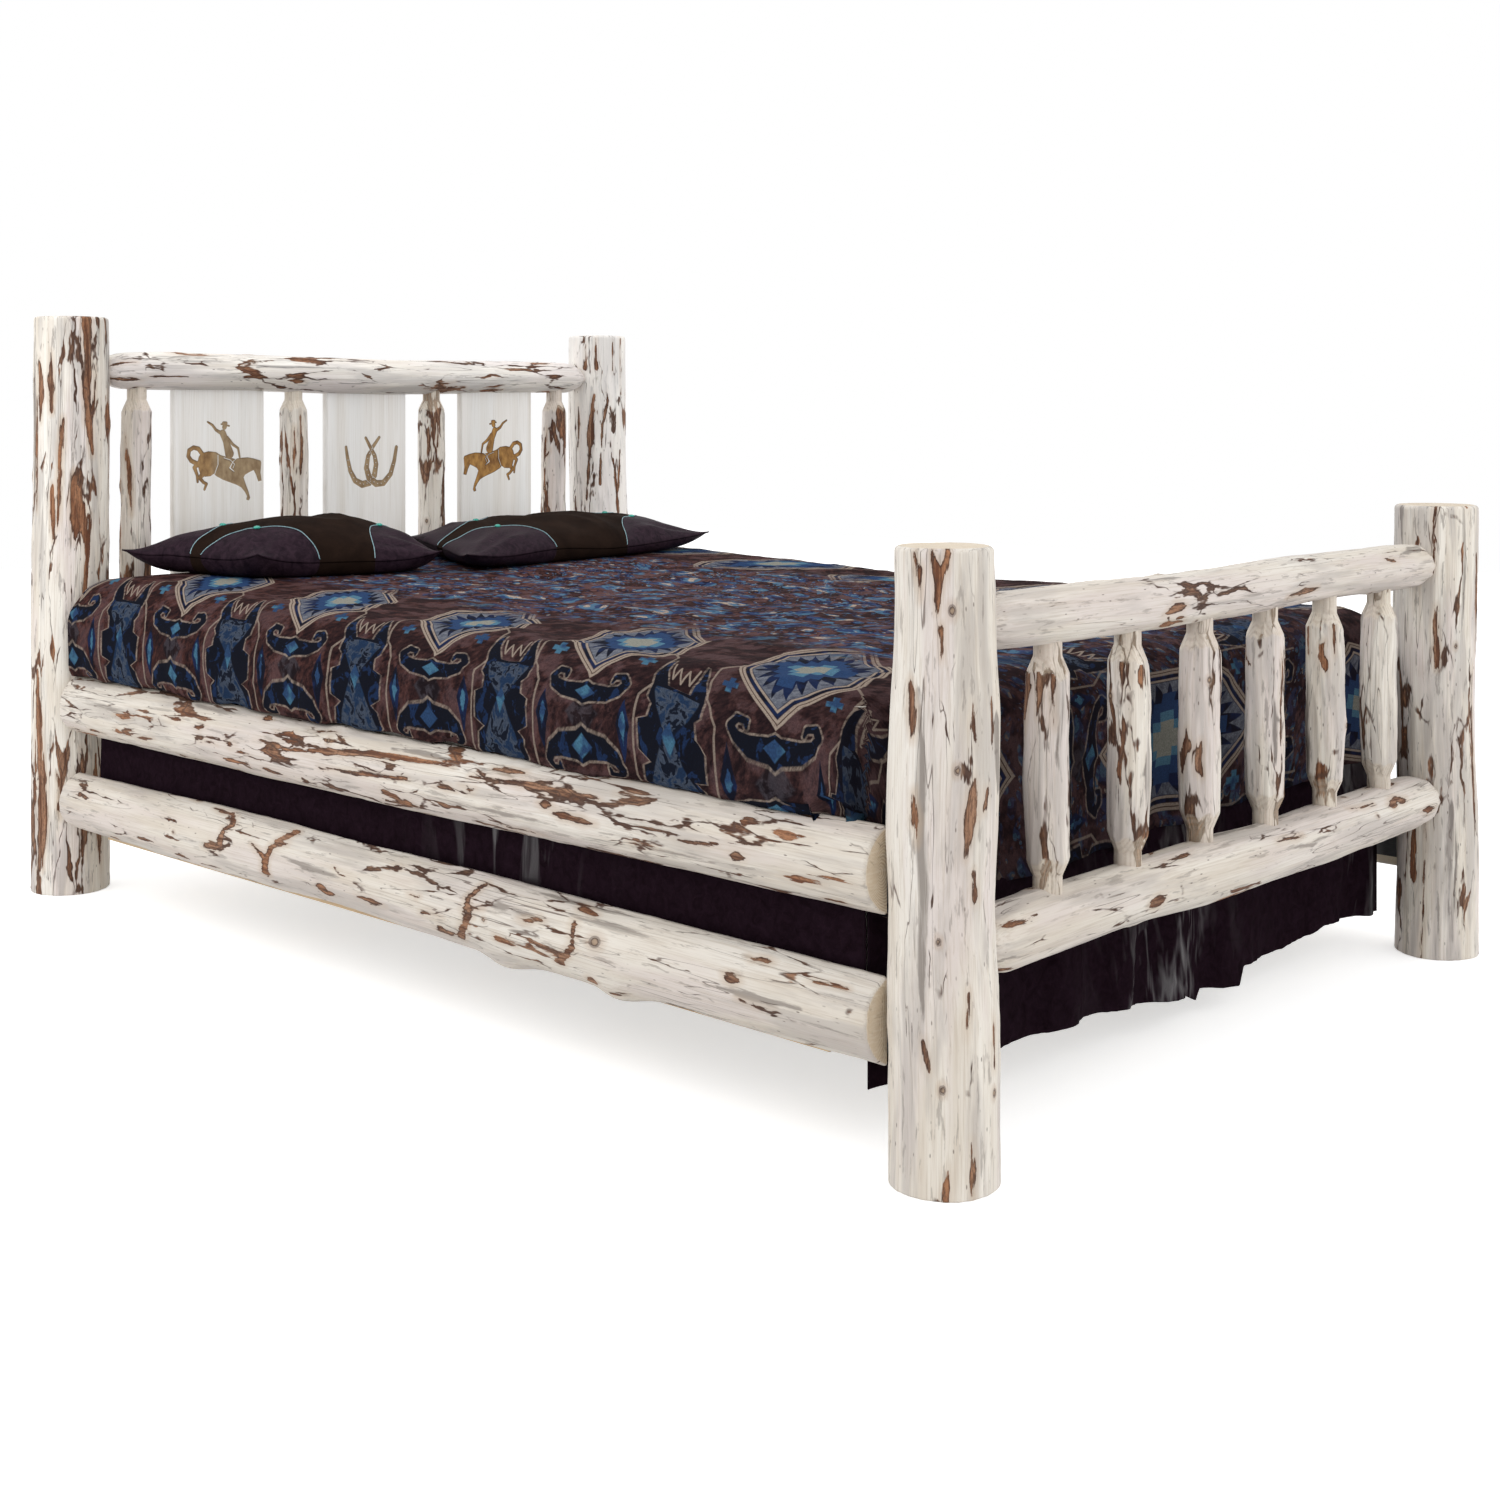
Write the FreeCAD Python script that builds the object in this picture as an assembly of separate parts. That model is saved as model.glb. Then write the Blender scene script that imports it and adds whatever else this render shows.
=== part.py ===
"""Rustic log bed: peeled-log headboard, footboard and half-log side rails,
slats on ledgers, and the bedding that the bed is shown with.

Millimetres. The origin is on the floor at the centre of the bed.
+X runs across the bed, to the right as seen from the foot. +Y runs to the head. +Z is up.
"""
import math
import os

import FreeCAD, Part

Vec = FreeCAD.Vector

# The frame is set out round the box spring: the room beside it to the side rails' flat backs,
# the room at its ends to the posts' middles, and how far inside the flat backs those middles stand
box_spring_width = 1508.0
box_spring_length = 2020.0
side_room = 17.0
end_room = 137.3
post_inset = 25.7

# Posts
head_post_height = 1194.0
foot_post_height = 825.0
head_post_radius = 77.0
foot_post_radius = 72.0
post_top_round = 7.0
post_foot_round = 3.0
head_left_girth_shares = (1.02, 1.01, 1.00, 0.99, 1.00, 0.98, 0.98, 0.97)
head_right_girth_shares = (1.00, 0.99, 1.01, 0.98, 0.99, 0.97, 0.98, 0.96)
foot_left_girth_shares = (1.02, 1.00, 1.00, 0.96, 1.01, 1.00, 0.92, 0.90)
foot_right_girth_shares = (1.03, 1.01, 0.99, 0.97, 0.98, 1.02, 1.02, 1.01)
post_sway_share = 0.05

# Cross rails of the headboard and the footboard
head_top_rail_drop = 112.0
head_top_rail_radius = 41.0
head_low_rail_z = 395.0
head_low_rail_radius = 44.0
foot_top_rail_drop = 107.0
foot_top_rail_radius = 40.0
foot_low_rail_z = 292.0
foot_low_rail_radius = 46.0
head_top_girth_shares = (0.92, 1.00, 0.99, 1.03, 1.01, 1.00, 0.98, 0.90)
head_low_girth_shares = (0.95, 1.00, 1.02, 0.99, 1.00, 1.03, 0.99, 0.95)
foot_top_girth_shares = (0.90, 0.97, 1.02, 0.98, 1.03, 0.98, 1.00, 0.93)
foot_low_girth_shares = (0.94, 1.00, 0.97, 1.04, 1.00, 1.05, 1.02, 0.95)
rail_sway_share = 0.10

# Round tenons of the cross rails, bored into the posts
rail_tenon_radius = 24.0
rail_tenon_length = 58.0
tenon_clearance = 0.3
tenon_end_gap = 3.0
scribe_gap = 0.4

# Spindles, with the distance from a post's middle to the nearest one
head_spindle_end = 151.3
head_spindle_count = 4
head_spindle_radius = 31.5
foot_spindle_end = 235.3
foot_spindle_count = 6
foot_spindle_radius = 31.0
spindle_neck_radius = 18.0
spindle_shoulder = 24.0
spindle_neck_show = 18.0
spindle_tenon_length = 30.0
spindle_girth_shares = (0.96, 1.01, 1.04, 0.99, 1.02, 0.97)
spindle_sway_share = 0.07
spindle_turn_step = 2.4

# Headboard panels, held in grooves of the two rails, and their gap to the spindles' middles
panel_gap = 84.0
panel_thickness = 20.0
panel_groove_depth = 16.0
panel_clearance = 0.4

# Half-log side rails
side_rail_depth = 46.0
side_rail_height = 120.0
side_upper_z = 395.0
side_lower_z = 197.0
side_end_gap = 2.0
side_end_round = 6.0
side_upper_girth_shares = (0.98, 1.00, 1.02, 1.00, 0.99, 1.02, 1.00, 0.97)
side_lower_girth_shares = (0.99, 1.00, 1.05, 1.06, 1.00, 1.03, 1.00, 0.96)
side_sway_share = 0.04
knob_radius = 40.0
knob_drop = 42.0
knob_y_shares = (-0.218, -0.436)

# Steel hook bars on the flat backs of the side rails, and the pins in the posts
hook_thickness = 5.0
hook_on_rail = 96.0
hook_into_post = 40.0
hook_height = 84.0
hook_pin_radius = 4.5
hook_pin_length = 36.0
hook_pin_spacing = 40.0
hook_pin_inset = 24.0
hook_pin_clearance = 0.3
hook_drop = 13.0
hook_slot_clearance = 0.6

# Screws
screw_shank_radius = 2.4
screw_head_radius = 4.6
screw_head_height = 2.8
screw_length = 32.0
tenon_screw_length = 78.0
tenon_screw_depth_share = 0.72
screw_clearance = 0.2
hook_screw_shares = (0.1875, 0.5, 0.8125)

# Ledgers, slats, centre beam and its legs. The ledgers and the beam end short of the box spring,
# the outer slats short of them, and so do the outer legs.
ledger_size = 38.0
ledger_inset = 50.0
ledger_top_z = 172.0
slat_thickness = 19.0
slat_width = 89.0
slat_count = 5
slat_end_gap = 6.0
slat_inset = 60.0
beam_width = 38.0
beam_height = 89.0
leg_size = 64.0
leg_dowel_radius = 12.0
leg_dowel_length = 30.0
leg_inset = 200.0

# Bedding
soft_gap = 0.3
bedding_y = -13.0
box_spring_height = 216.0
mattress_overlap_x = 8.0
mattress_overlap_y = 6.0
mattress_height = 192.0
bedding_corner = 60.0
bedding_edge = 12.0
deck_thickness = 2.0
skirt_thickness = 3.0
skirt_side_lift = 2.0
skirt_side_wave = 2.0
skirt_side_pleats = 14
skirt_top_share = 0.2
skirt_middle_share = 0.6
skirt_foot_hem_left = 92.0
skirt_foot_hem_right = 50.0
skirt_foot_lean = 20.0
skirt_foot_wave = 9.0
skirt_foot_pleats = 9

# Comforter: the cap over the mattress, and the flap that hangs at the foot.
# Each station along the cap has its share of the loft over the mattress and of the swell beside it.
comforter_y_shares = (-1.0, -0.985, -0.92, -0.45, 0.0, 0.45, 0.90, 0.985, 1.0)
comforter_loft_shares = (-0.29, 0.36, 0.80, 0.92, 1.0, 1.24, 1.71, 1.41, 0.53)
comforter_swell_shares = (0.25, 0.70, 0.95, 1.10, 1.0, 1.15, 1.35, 1.20, 0.70)
comforter_foot_cover = 39.0
comforter_head_cover = 65.0
comforter_loft = 34.0
comforter_swell = 40.0
comforter_hem_cover = 13.0
comforter_hem_gap = 12.0
comforter_belly_share = 0.467
comforter_shoulder = 75.0
comforter_rim_drop_share = 0.11
comforter_round_share = 0.32
comforter_bend_in_share = 0.11
comforter_bend_down_share = 0.77
flap_thickness = 22.0
flap_folds = 7
flap_wave = 7.0
flap_top_wave_share = 0.3
flap_drop_left = 96.0
flap_drop_right = 58.0
flap_top_drop = 42.0

# Pillows: front and back corners at the left and the right end, seen from above,
# as shares of the mattress's half width and half length from its middle
pillow_sink = 10.0
left_pillow_front_shares = ((-0.730, 0.743), (-0.210, 0.651))
left_pillow_back_shares = ((-0.895, 1.048), (0.003, 1.058))
left_pillow_thickness = 122.0
right_pillow_front_shares = ((-0.168, 0.609), (0.955, 0.718))
right_pillow_back_shares = ((0.050, 1.048), (0.955, 1.048))
right_pillow_thickness = 100.0
pillow_slice_shares = (0.0, 0.06, 0.22, 0.5, 0.78, 0.94, 1.0)
pillow_puff_shares = (0.10, 0.46, 0.88, 1.0, 0.88, 0.46, 0.10)
pillow_draw_shares = (0.0, 0.03, 0.05, 0.06, 0.05, 0.03, 0.0)
pillow_seat_share = 0.46

# One overrun for every cut
overrun = 5.0

# Sizes and places worked out from the sizes above
side_flat_x = box_spring_width / 2 + side_room
post_spacing_x = 2 * (side_flat_x - post_inset)
post_spacing_y = box_spring_length + 2 * end_room
head_spindle_pitch = (post_spacing_x - 2 * head_spindle_end) / (head_spindle_count - 1)
foot_spindle_pitch = (post_spacing_x - 2 * foot_spindle_end) / (foot_spindle_count - 1)
panel_width = head_spindle_pitch - 2 * panel_gap
ledger_length = box_spring_length - 2 * ledger_inset
slat_run = ledger_length - 2 * slat_inset
leg_pitch = ledger_length / 2 - leg_inset
mattress_width = box_spring_width + 2 * mattress_overlap_x
mattress_length = box_spring_length + 2 * mattress_overlap_y
head_y = post_spacing_y / 2
side_x = post_spacing_x / 2
head_top_rail_z = head_post_height - head_top_rail_drop
foot_top_rail_z = foot_post_height - foot_top_rail_drop
slat_top_z = ledger_top_z + slat_thickness
box_spring_z = slat_top_z + soft_gap
deck_z = box_spring_z + box_spring_height + soft_gap
mattress_z = deck_z + deck_thickness + soft_gap
mattress_top_z = mattress_z + mattress_height
side_log_radius = (side_rail_height ** 2 / 4 + side_rail_depth ** 2) / (2 * side_rail_depth)
side_log_x = side_flat_x + side_rail_depth - side_log_radius
comforter_foot_y = bedding_y - mattress_length / 2 - comforter_foot_cover
comforter_head_y = bedding_y + mattress_length / 2 + comforter_head_cover
comforter_hem_z = side_upper_z + side_rail_height / 2 + comforter_hem_gap
comforter_belly_z = comforter_hem_z + (mattress_top_z - comforter_hem_z) * comforter_belly_share


def box(low, high):
    """Box between two corners."""
    size = high - low
    return Part.makeBox(size.x, size.y, size.z, low)


def rod(radius, start, end):
    """Cylinder from one point to another."""
    run = end - start
    return Part.makeCylinder(radius, run.Length, start, run)


def place(axis, along, side, lift):
    """Point of a log that runs along X, Y or Z, with its two offsets across."""
    if axis == "x":
        return Vec(along, side, lift)
    if axis == "y":
        return Vec(side, along, lift)
    return Vec(side, lift, along)


def log(axis, start, end, side, lift, radius, girth_shares, sway_share, turn):
    """Peeled log: a smooth skin through round sections that swell and sway a little.

    The sway dies out at both ends, so the ends are on the true line."""
    direction = place(axis, 1, 0, 0)
    last = len(girth_shares) - 1
    wires = []
    for step, girth in enumerate(girth_shares):
        share = step / last
        sway = radius * sway_share * math.sin(math.pi * share)
        angle = turn + 2 * math.pi * share
        centre = place(
            axis,
            start + (end - start) * share,
            side + sway * math.cos(angle),
            lift + sway * math.sin(angle),
        )
        ring = Part.Circle(centre, direction, radius * girth)
        wires.append(Part.Wire(ring.toShape()))
    return Part.makeLoft(wires, True, False)


def end_edges(shape, axis, value):
    """Edges of the flat end of a log at one value of its axis."""
    found = []
    for edge in shape.Edges:
        bounds = edge.BoundBox
        low = {"x": bounds.XMin, "y": bounds.YMin, "z": bounds.ZMin}[axis]
        high = {"x": bounds.XMax, "y": bounds.YMax, "z": bounds.ZMax}[axis]
        flat = high - low < scribe_gap
        if flat and abs(low - value) < scribe_gap:
            found.append(edge)
    return found


# Each post: its side, its end, its height, its radius, its girths and its turn
posts = {
    "head_post_left": (-1, 1, head_post_height, head_post_radius, head_left_girth_shares, 0.4),
    "head_post_right": (1, 1, head_post_height, head_post_radius, head_right_girth_shares, 2.2),
    "foot_post_left": (-1, -1, foot_post_height, foot_post_radius, foot_left_girth_shares, 5.6),
    "foot_post_right": (1, -1, foot_post_height, foot_post_radius, foot_right_girth_shares, 3.9),
}


def post_log(name, growth):
    """Bare log of one post, larger by a growth of its radius where it serves as a scribe."""
    side, end, height, radius, girths, turn = posts[name]
    return log("z", 0, height, side * side_x, end * head_y, radius + growth, girths,
               post_sway_share, turn)


# Cross rails: the posts' end, the rail's height, its radius, its girths and its turn
cross_rails = {
    "headboard_top_rail": (1, head_top_rail_z, head_top_rail_radius, head_top_girth_shares, 1.1),
    "headboard_bottom_rail": (1, head_low_rail_z, head_low_rail_radius, head_low_girth_shares, 4.0),
    "footboard_top_rail": (-1, foot_top_rail_z, foot_top_rail_radius, foot_top_girth_shares, 2.6),
    "footboard_bottom_rail": (-1, foot_low_rail_z, foot_low_rail_radius, foot_low_girth_shares, 0.2),
}


def tenon_end_x(end):
    """How far from the bed's middle a cross rail's tenon reaches into its post."""
    radius = head_post_radius if end > 0 else foot_post_radius
    return side_x - radius + rail_tenon_length


def tenon_bore(side, end, height):
    """Blind bore in a post for one tenon of a cross rail."""
    start = Vec(side * (tenon_end_x(end) - rail_tenon_length - overrun), end * head_y, height)
    stop = Vec(side * (tenon_end_x(end) + tenon_end_gap), end * head_y, height)
    return rod(rail_tenon_radius + tenon_clearance, start, stop)


def screw(head, direction, length, growth):
    """Countersunk screw: the head's flat face is at the point, and the shank runs along."""
    cone = Part.makeCone(screw_head_radius + growth, screw_shank_radius + growth,
                         screw_head_height, head, direction)
    shank = rod(screw_shank_radius + growth, head, head + direction * (length + growth))
    return cone.fuse(shank)


def tenon_screw_heads(name):
    """Where the heads of the two screws lie that lock the tenons in one post."""
    side, end, _, radius, _, _ = posts[name]
    reach = side * (side_x - radius + rail_tenon_length / 2)
    return [Vec(reach, end * (head_y - radius * tenon_screw_depth_share), height)
            for rail_end, height, _, _, _ in cross_rails.values() if rail_end == end]


def tenon_screws(name, growth):
    """Screws from one post's inner face through the tenons."""
    end = posts[name][1]
    return [screw(head, Vec(0, end, 0), tenon_screw_length, growth) for head in tenon_screw_heads(name)]


def tenon_screw_sinks(name):
    """Counterbores that sink those screws' heads under the post's skin."""
    _, end, _, radius, _, _ = posts[name]
    return [rod(screw_head_radius + screw_clearance, head, head - Vec(0, end * radius, 0))
            for head in tenon_screw_heads(name)]


# Side rails: the height of the middle, the girths, whether knobs stand under it, and the turn
side_rails = {
    "upper": (side_upper_z, side_upper_girth_shares, False, 0.9),
    "lower": (side_lower_z, side_lower_girth_shares, True, 3.3),
}


def side_end_y(end):
    """Where the side rails end, just short of the posts."""
    radius = head_post_radius if end > 0 else foot_post_radius
    return end * (head_y - radius - side_end_gap)


def hook_pin_places(end, height):
    """Centres of the two pins that one hook bar rests on, as Y and Z."""
    across = side_end_y(end) + end * hook_pin_inset
    return [(across, height - hook_pin_spacing / 2), (across, height + hook_pin_spacing / 2)]


def hook_bar(side, end, height):
    """Steel bar on the rail's flat back, with two hooks that turn down over the pins."""
    inner = side_end_y(end) - end * hook_on_rail
    outer = side_end_y(end) + end * hook_into_post
    x_near = side * (side_flat_x - hook_thickness)
    x_far = side * side_flat_x
    low = Vec(min(x_near, x_far), min(inner, outer), height - hook_height / 2)
    high = Vec(max(x_near, x_far), max(inner, outer), height + hook_height / 2)
    bar = box(low, high)
    throat = hook_pin_radius + hook_pin_clearance
    x_start = low.x - overrun
    x_stop = high.x + overrun
    for across, pin_z in hook_pin_places(end, height):
        open_z = pin_z - hook_drop
        mouth = outer + end * overrun
        entry_y = across - end * throat
        entry = box(Vec(x_start, min(entry_y, mouth), open_z - throat),
                    Vec(x_stop, max(entry_y, mouth), open_z + throat))
        rise = box(Vec(x_start, across - throat, open_z), Vec(x_stop, across + throat, pin_z))
        seat = rod(throat, Vec(x_start, across, pin_z), Vec(x_stop, across, pin_z))
        bar = bar.cut(entry).cut(rise).cut(seat)
    return bar


def hook_slot(side, end, height):
    """Slot in the post for one hook bar, with room to lower the hooks over the pins."""
    outer = side_end_y(end) + end * (hook_into_post + hook_slot_clearance)
    mouth = side_end_y(end) - end * overrun
    x_near = side * (side_flat_x - hook_thickness - hook_slot_clearance)
    x_far = side * (side_flat_x + hook_slot_clearance)
    return box(Vec(min(x_near, x_far), min(outer, mouth), height - hook_height / 2 - hook_slot_clearance),
               Vec(max(x_near, x_far), max(outer, mouth), height + hook_height / 2 + hook_drop))


def hook_pins(side, end, height, growth):
    """Two steel pins across the slot, pressed into the post."""
    middle = side_flat_x - hook_thickness / 2
    start = side * (middle - hook_pin_length / 2 - growth)
    stop = side * (middle + hook_pin_length / 2 + growth)
    pins = []
    for across, pin_z in hook_pin_places(end, height):
        pins.append(rod(hook_pin_radius + growth, Vec(start, across, pin_z), Vec(stop, across, pin_z)))
    return pins


def hook_screws(side, end, height, growth):
    """Three countersunk screws through a hook bar into the rail's back."""
    found = []
    for share in hook_screw_shares:
        along = side_end_y(end) - end * hook_on_rail * share
        head = Vec(side * (side_flat_x - hook_thickness), along, height)
        found.append(screw(head, Vec(side, 0, 0), screw_length, growth))
    return found


def ledger_screw_places():
    """Y of each screw that holds a ledger to its rail: midway between the slats."""
    pitch = slat_run / (slat_count - 1)
    return [bedding_y - slat_run / 2 + pitch * (step + 0.5) for step in range(slat_count - 1)]


def ledger_screws(side, growth):
    """Screws through one ledger into the flat back of the lower rail."""
    height = ledger_top_z - ledger_size / 2
    head_x = side * (side_flat_x - ledger_size)
    length = ledger_size + screw_length / 2
    return [screw(Vec(head_x, along, height), Vec(side, 0, 0), length, growth)
            for along in ledger_screw_places()]


def slat_places():
    """Y of the middle of each slat."""
    pitch = slat_run / (slat_count - 1)
    return [bedding_y - slat_run / 2 + pitch * step for step in range(slat_count)]


def slat_screws(along, growth):
    """Three screws down through one slat: into both ledgers and the centre beam."""
    ledger_x = side_flat_x - ledger_size / 2
    return [screw(Vec(across, along, slat_top_z), Vec(0, 0, -1), screw_length + slat_thickness / 2, growth)
            for across in (-ledger_x, 0, ledger_x)]


def make_post(name):
    """Post with rounded ends, bores for the tenons and slots for the hook bars."""
    side, end, height, _, _, _ = posts[name]
    post = post_log(name, 0)
    post = post.makeFillet(post_top_round, end_edges(post, "z", height))
    post = post.makeFillet(post_foot_round, end_edges(post, "z", 0))
    cuts = []
    for rail_end, rail_z, _, _, _ in cross_rails.values():
        if rail_end == end:
            cuts.append(tenon_bore(side, end, rail_z))
    for rail_z, _, _, _ in side_rails.values():
        cuts.append(hook_slot(side, end, rail_z))
        cuts.extend(hook_pins(side, end, rail_z, hook_pin_clearance / 2))
    cuts.extend(tenon_screws(name, screw_clearance))
    cuts.extend(tenon_screw_sinks(name))
    return post.cut(cuts)


def spindle_places(count, pitch):
    """X of each spindle, spread evenly about the middle."""
    return [(step - (count - 1) / 2) * pitch for step in range(count)]


def panel_places():
    """X of each headboard panel, midway between two spindles."""
    return spindle_places(head_spindle_count - 1, head_spindle_pitch)


def spindle_bore(across, end, low, high):
    """Upright bore in a cross rail for one spindle's tenon."""
    radius = spindle_neck_radius + tenon_clearance
    return rod(radius, Vec(across, end * head_y, low), Vec(across, end * head_y, high))


def make_cross_rail(name):
    """Cross rail: a log scribed to both posts, with round tenons, bored for its spindles."""
    end, height, radius, girths, turn = cross_rails[name]
    row = "head" if end > 0 else "foot"
    rail = log("x", -side_x, side_x, end * head_y, height, radius, girths, rail_sway_share, turn)
    for side, word in ((-1, "left"), (1, "right")):
        rail = rail.cut(post_log(f"{row}_post_{word}", scribe_gap))
    rail = max(rail.Solids, key=lambda solid: solid.Volume)
    reach = tenon_end_x(end)
    tenon = rod(rail_tenon_radius, Vec(-reach, end * head_y, height), Vec(reach, end * head_y, height))
    rail = rail.fuse(tenon)
    top_rail = name.endswith("top_rail")
    depth = spindle_tenon_length + tenon_end_gap
    if end > 0:
        places = spindle_places(head_spindle_count, head_spindle_pitch)
    else:
        places = spindle_places(foot_spindle_count, foot_spindle_pitch)
    face = height - radius if top_rail else height + radius
    back = face + depth if top_rail else face - depth
    mouth = face - radius if top_rail else face + radius
    cuts = [spindle_bore(across, end, min(back, mouth), max(back, mouth)) for across in places]
    if end > 0:
        groove = face + panel_groove_depth if top_rail else face - panel_groove_depth
        half = panel_thickness / 2 + panel_clearance
        for across in panel_places():
            reach_x = panel_width / 2 + panel_clearance
            cuts.append(box(Vec(across - reach_x, head_y - half, min(groove, mouth)),
                            Vec(across + reach_x, head_y + half, max(groove, mouth))))
    for word in ("left", "right"):
        cuts.extend(tenon_screws(f"{row}_post_{word}", screw_clearance))
    return rail.cut(cuts)


def make_spindle(across, end, low_face, high_face, radius, turn):
    """Spindle: an uneven peeled stick with hewn shoulders and round tenons."""
    body_low = low_face + spindle_neck_show + spindle_shoulder
    body_high = high_face - spindle_neck_show - spindle_shoulder
    heights = [low_face - spindle_tenon_length, low_face + spindle_neck_show]
    radii = [spindle_neck_radius, spindle_neck_radius]
    sways = [0, 0]
    last = len(spindle_girth_shares) - 1
    for step, girth in enumerate(spindle_girth_shares):
        share = step / last
        heights.append(body_low + (body_high - body_low) * share)
        radii.append(radius * girth)
        sways.append(radius * spindle_sway_share * math.sin(math.pi * share))
    heights += [high_face - spindle_neck_show, high_face + spindle_tenon_length]
    radii += [spindle_neck_radius, spindle_neck_radius]
    sways += [0, 0]
    wires = []
    for height, girth, sway in zip(heights, radii, sways):
        centre = Vec(across + sway * math.cos(turn), end * head_y + sway * math.sin(turn), height)
        wires.append(Part.Wire(Part.Circle(centre, Vec(0, 0, 1), girth).toShape()))
    return Part.makeLoft(wires, True, True)


def make_panel(across):
    """Planed board that stands in the grooves of the two headboard rails."""
    low = head_low_rail_z + head_low_rail_radius - panel_groove_depth + panel_clearance
    high = head_top_rail_z - head_top_rail_radius + panel_groove_depth - panel_clearance
    return box(Vec(across - panel_width / 2, head_y - panel_thickness / 2, low),
               Vec(across + panel_width / 2, head_y + panel_thickness / 2, high))


def make_side_rail(side, word):
    """Half log: round outside, sawn flat inside, drilled for its bars and ledger."""
    height, girths, knobs, turn = side_rails[word]
    start, stop = side_end_y(-1), side_end_y(1)
    rail = log("y", start, stop, side * side_log_x, height, side_log_radius, girths,
               side_sway_share, turn)
    if knobs:
        for share in knob_y_shares:
            middle = Vec(side * (side_log_x + side_rail_depth / 2), head_y * share, height - knob_drop)
            rail = rail.fuse(Part.makeSphere(knob_radius, middle))
    keep_far = side * (side_flat_x + side_rail_height)
    keep_near = side * side_flat_x
    keep = box(Vec(min(keep_near, keep_far), start, height - side_rail_height),
               Vec(max(keep_near, keep_far), stop, height + side_rail_height))
    rail = rail.common(keep)
    for end_y in (start, stop):
        rims = [edge for edge in end_edges(rail, "y", end_y) if edge.BoundBox.XLength > scribe_gap]
        rail = rail.makeFillet(side_end_round, rims)
    cuts = []
    for end in (-1, 1):
        cuts.extend(hook_screws(side, end, height, screw_clearance))
    if word == "lower":
        cuts.extend(ledger_screws(side, screw_clearance))
    return rail.cut(cuts)


def make_ledger(side):
    """Square cleat on the flat back of the lower rail."""
    near, far = side * (side_flat_x - ledger_size), side * side_flat_x
    ledger = box(Vec(min(near, far), bedding_y - ledger_length / 2, ledger_top_z - ledger_size),
                 Vec(max(near, far), bedding_y + ledger_length / 2, ledger_top_z))
    cuts = ledger_screws(side, screw_clearance)
    for along in slat_places():
        cuts.extend(slat_screws(along, screw_clearance))
    return ledger.cut(cuts)


def make_slat(along):
    """Slat across both ledgers and the centre beam."""
    reach = side_flat_x - slat_end_gap
    slat = box(Vec(-reach, along - slat_width / 2, ledger_top_z),
               Vec(reach, along + slat_width / 2, slat_top_z))
    return slat.cut(slat_screws(along, screw_clearance))


def leg_places():
    """Y of each leg under the centre beam."""
    return [bedding_y - leg_pitch, bedding_y, bedding_y + leg_pitch]


def make_beam():
    """Centre beam on edge, bored for the legs' dowels."""
    beam = box(Vec(-beam_width / 2, bedding_y - ledger_length / 2, ledger_top_z - beam_height),
               Vec(beam_width / 2, bedding_y + ledger_length / 2, ledger_top_z))
    cuts = []
    for along in leg_places():
        base = Vec(0, along, ledger_top_z - beam_height)
        cuts.append(rod(leg_dowel_radius + tenon_clearance, base - Vec(0, 0, overrun),
                        base + Vec(0, 0, leg_dowel_length + tenon_end_gap)))
    for along in slat_places():
        cuts.extend(slat_screws(along, screw_clearance))
    return beam.cut(cuts)


def make_leg(along):
    """Square leg with a round dowel that stands in the centre beam."""
    top = ledger_top_z - beam_height
    leg = box(Vec(-leg_size / 2, along - leg_size / 2, 0), Vec(leg_size / 2, along + leg_size / 2, top))
    dowel = rod(leg_dowel_radius, Vec(0, along, top / 2), Vec(0, along, top + leg_dowel_length))
    return leg.fuse(dowel)


def soft_block(width, length, low, height):
    """Box spring or mattress: a block with round corners and soft edges."""
    block = box(Vec(-width / 2, bedding_y - length / 2, low),
                Vec(width / 2, bedding_y + length / 2, low + height))
    upright = [edge for edge in block.Edges if edge.BoundBox.ZLength > height / 2]
    block = block.makeFillet(bedding_corner, upright)
    rims = [edge for edge in block.Edges if edge.BoundBox.ZLength < bedding_edge]
    return block.makeFillet(bedding_edge, rims)


def skirt_side_x():
    """How far out the side panels of the bed skirt start."""
    return box_spring_width / 2 + soft_gap + skirt_side_wave


def skirt_foot_y(share):
    """How far to the foot the foot panel stands where its lean and pleats have this share."""
    face_y = bedding_y - box_spring_length / 2 - soft_gap
    return face_y - (skirt_foot_lean + skirt_foot_wave) * share


def make_deck():
    """Flat cloth of the bed skirt, over the box spring and the top edges of the skirt panels."""
    half_x = skirt_side_x() + skirt_thickness
    head_edge = bedding_y + box_spring_length / 2
    return box(Vec(-half_x, skirt_foot_y(skirt_top_share) - skirt_thickness, deck_z),
               Vec(half_x, head_edge, deck_z + deck_thickness))


def wavy_band(origin, along, outward, length, wave, thickness, pleats):
    """Closed outline of a pleated band of cloth, seen from above: two rows of shallow arcs."""
    def row(offset):
        points = []
        for step in range(2 * pleats + 1):
            swing = wave * math.sin(math.pi * step / 2)
            points.append(origin + along * (length * step / (2 * pleats)) + outward * (offset + swing))
        return points

    def arcs(points):
        return [Part.Arc(points[step], points[step + 1], points[step + 2]).toShape()
                for step in range(0, len(points) - 2, 2)]

    near = row(0)
    far = row(thickness)
    edges = arcs(near)
    edges.append(Part.makeLine(near[-1], far[-1]))
    edges.extend(arcs(far[::-1]))
    edges.append(Part.makeLine(far[0], near[0]))
    return Part.Wire(edges)


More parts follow.
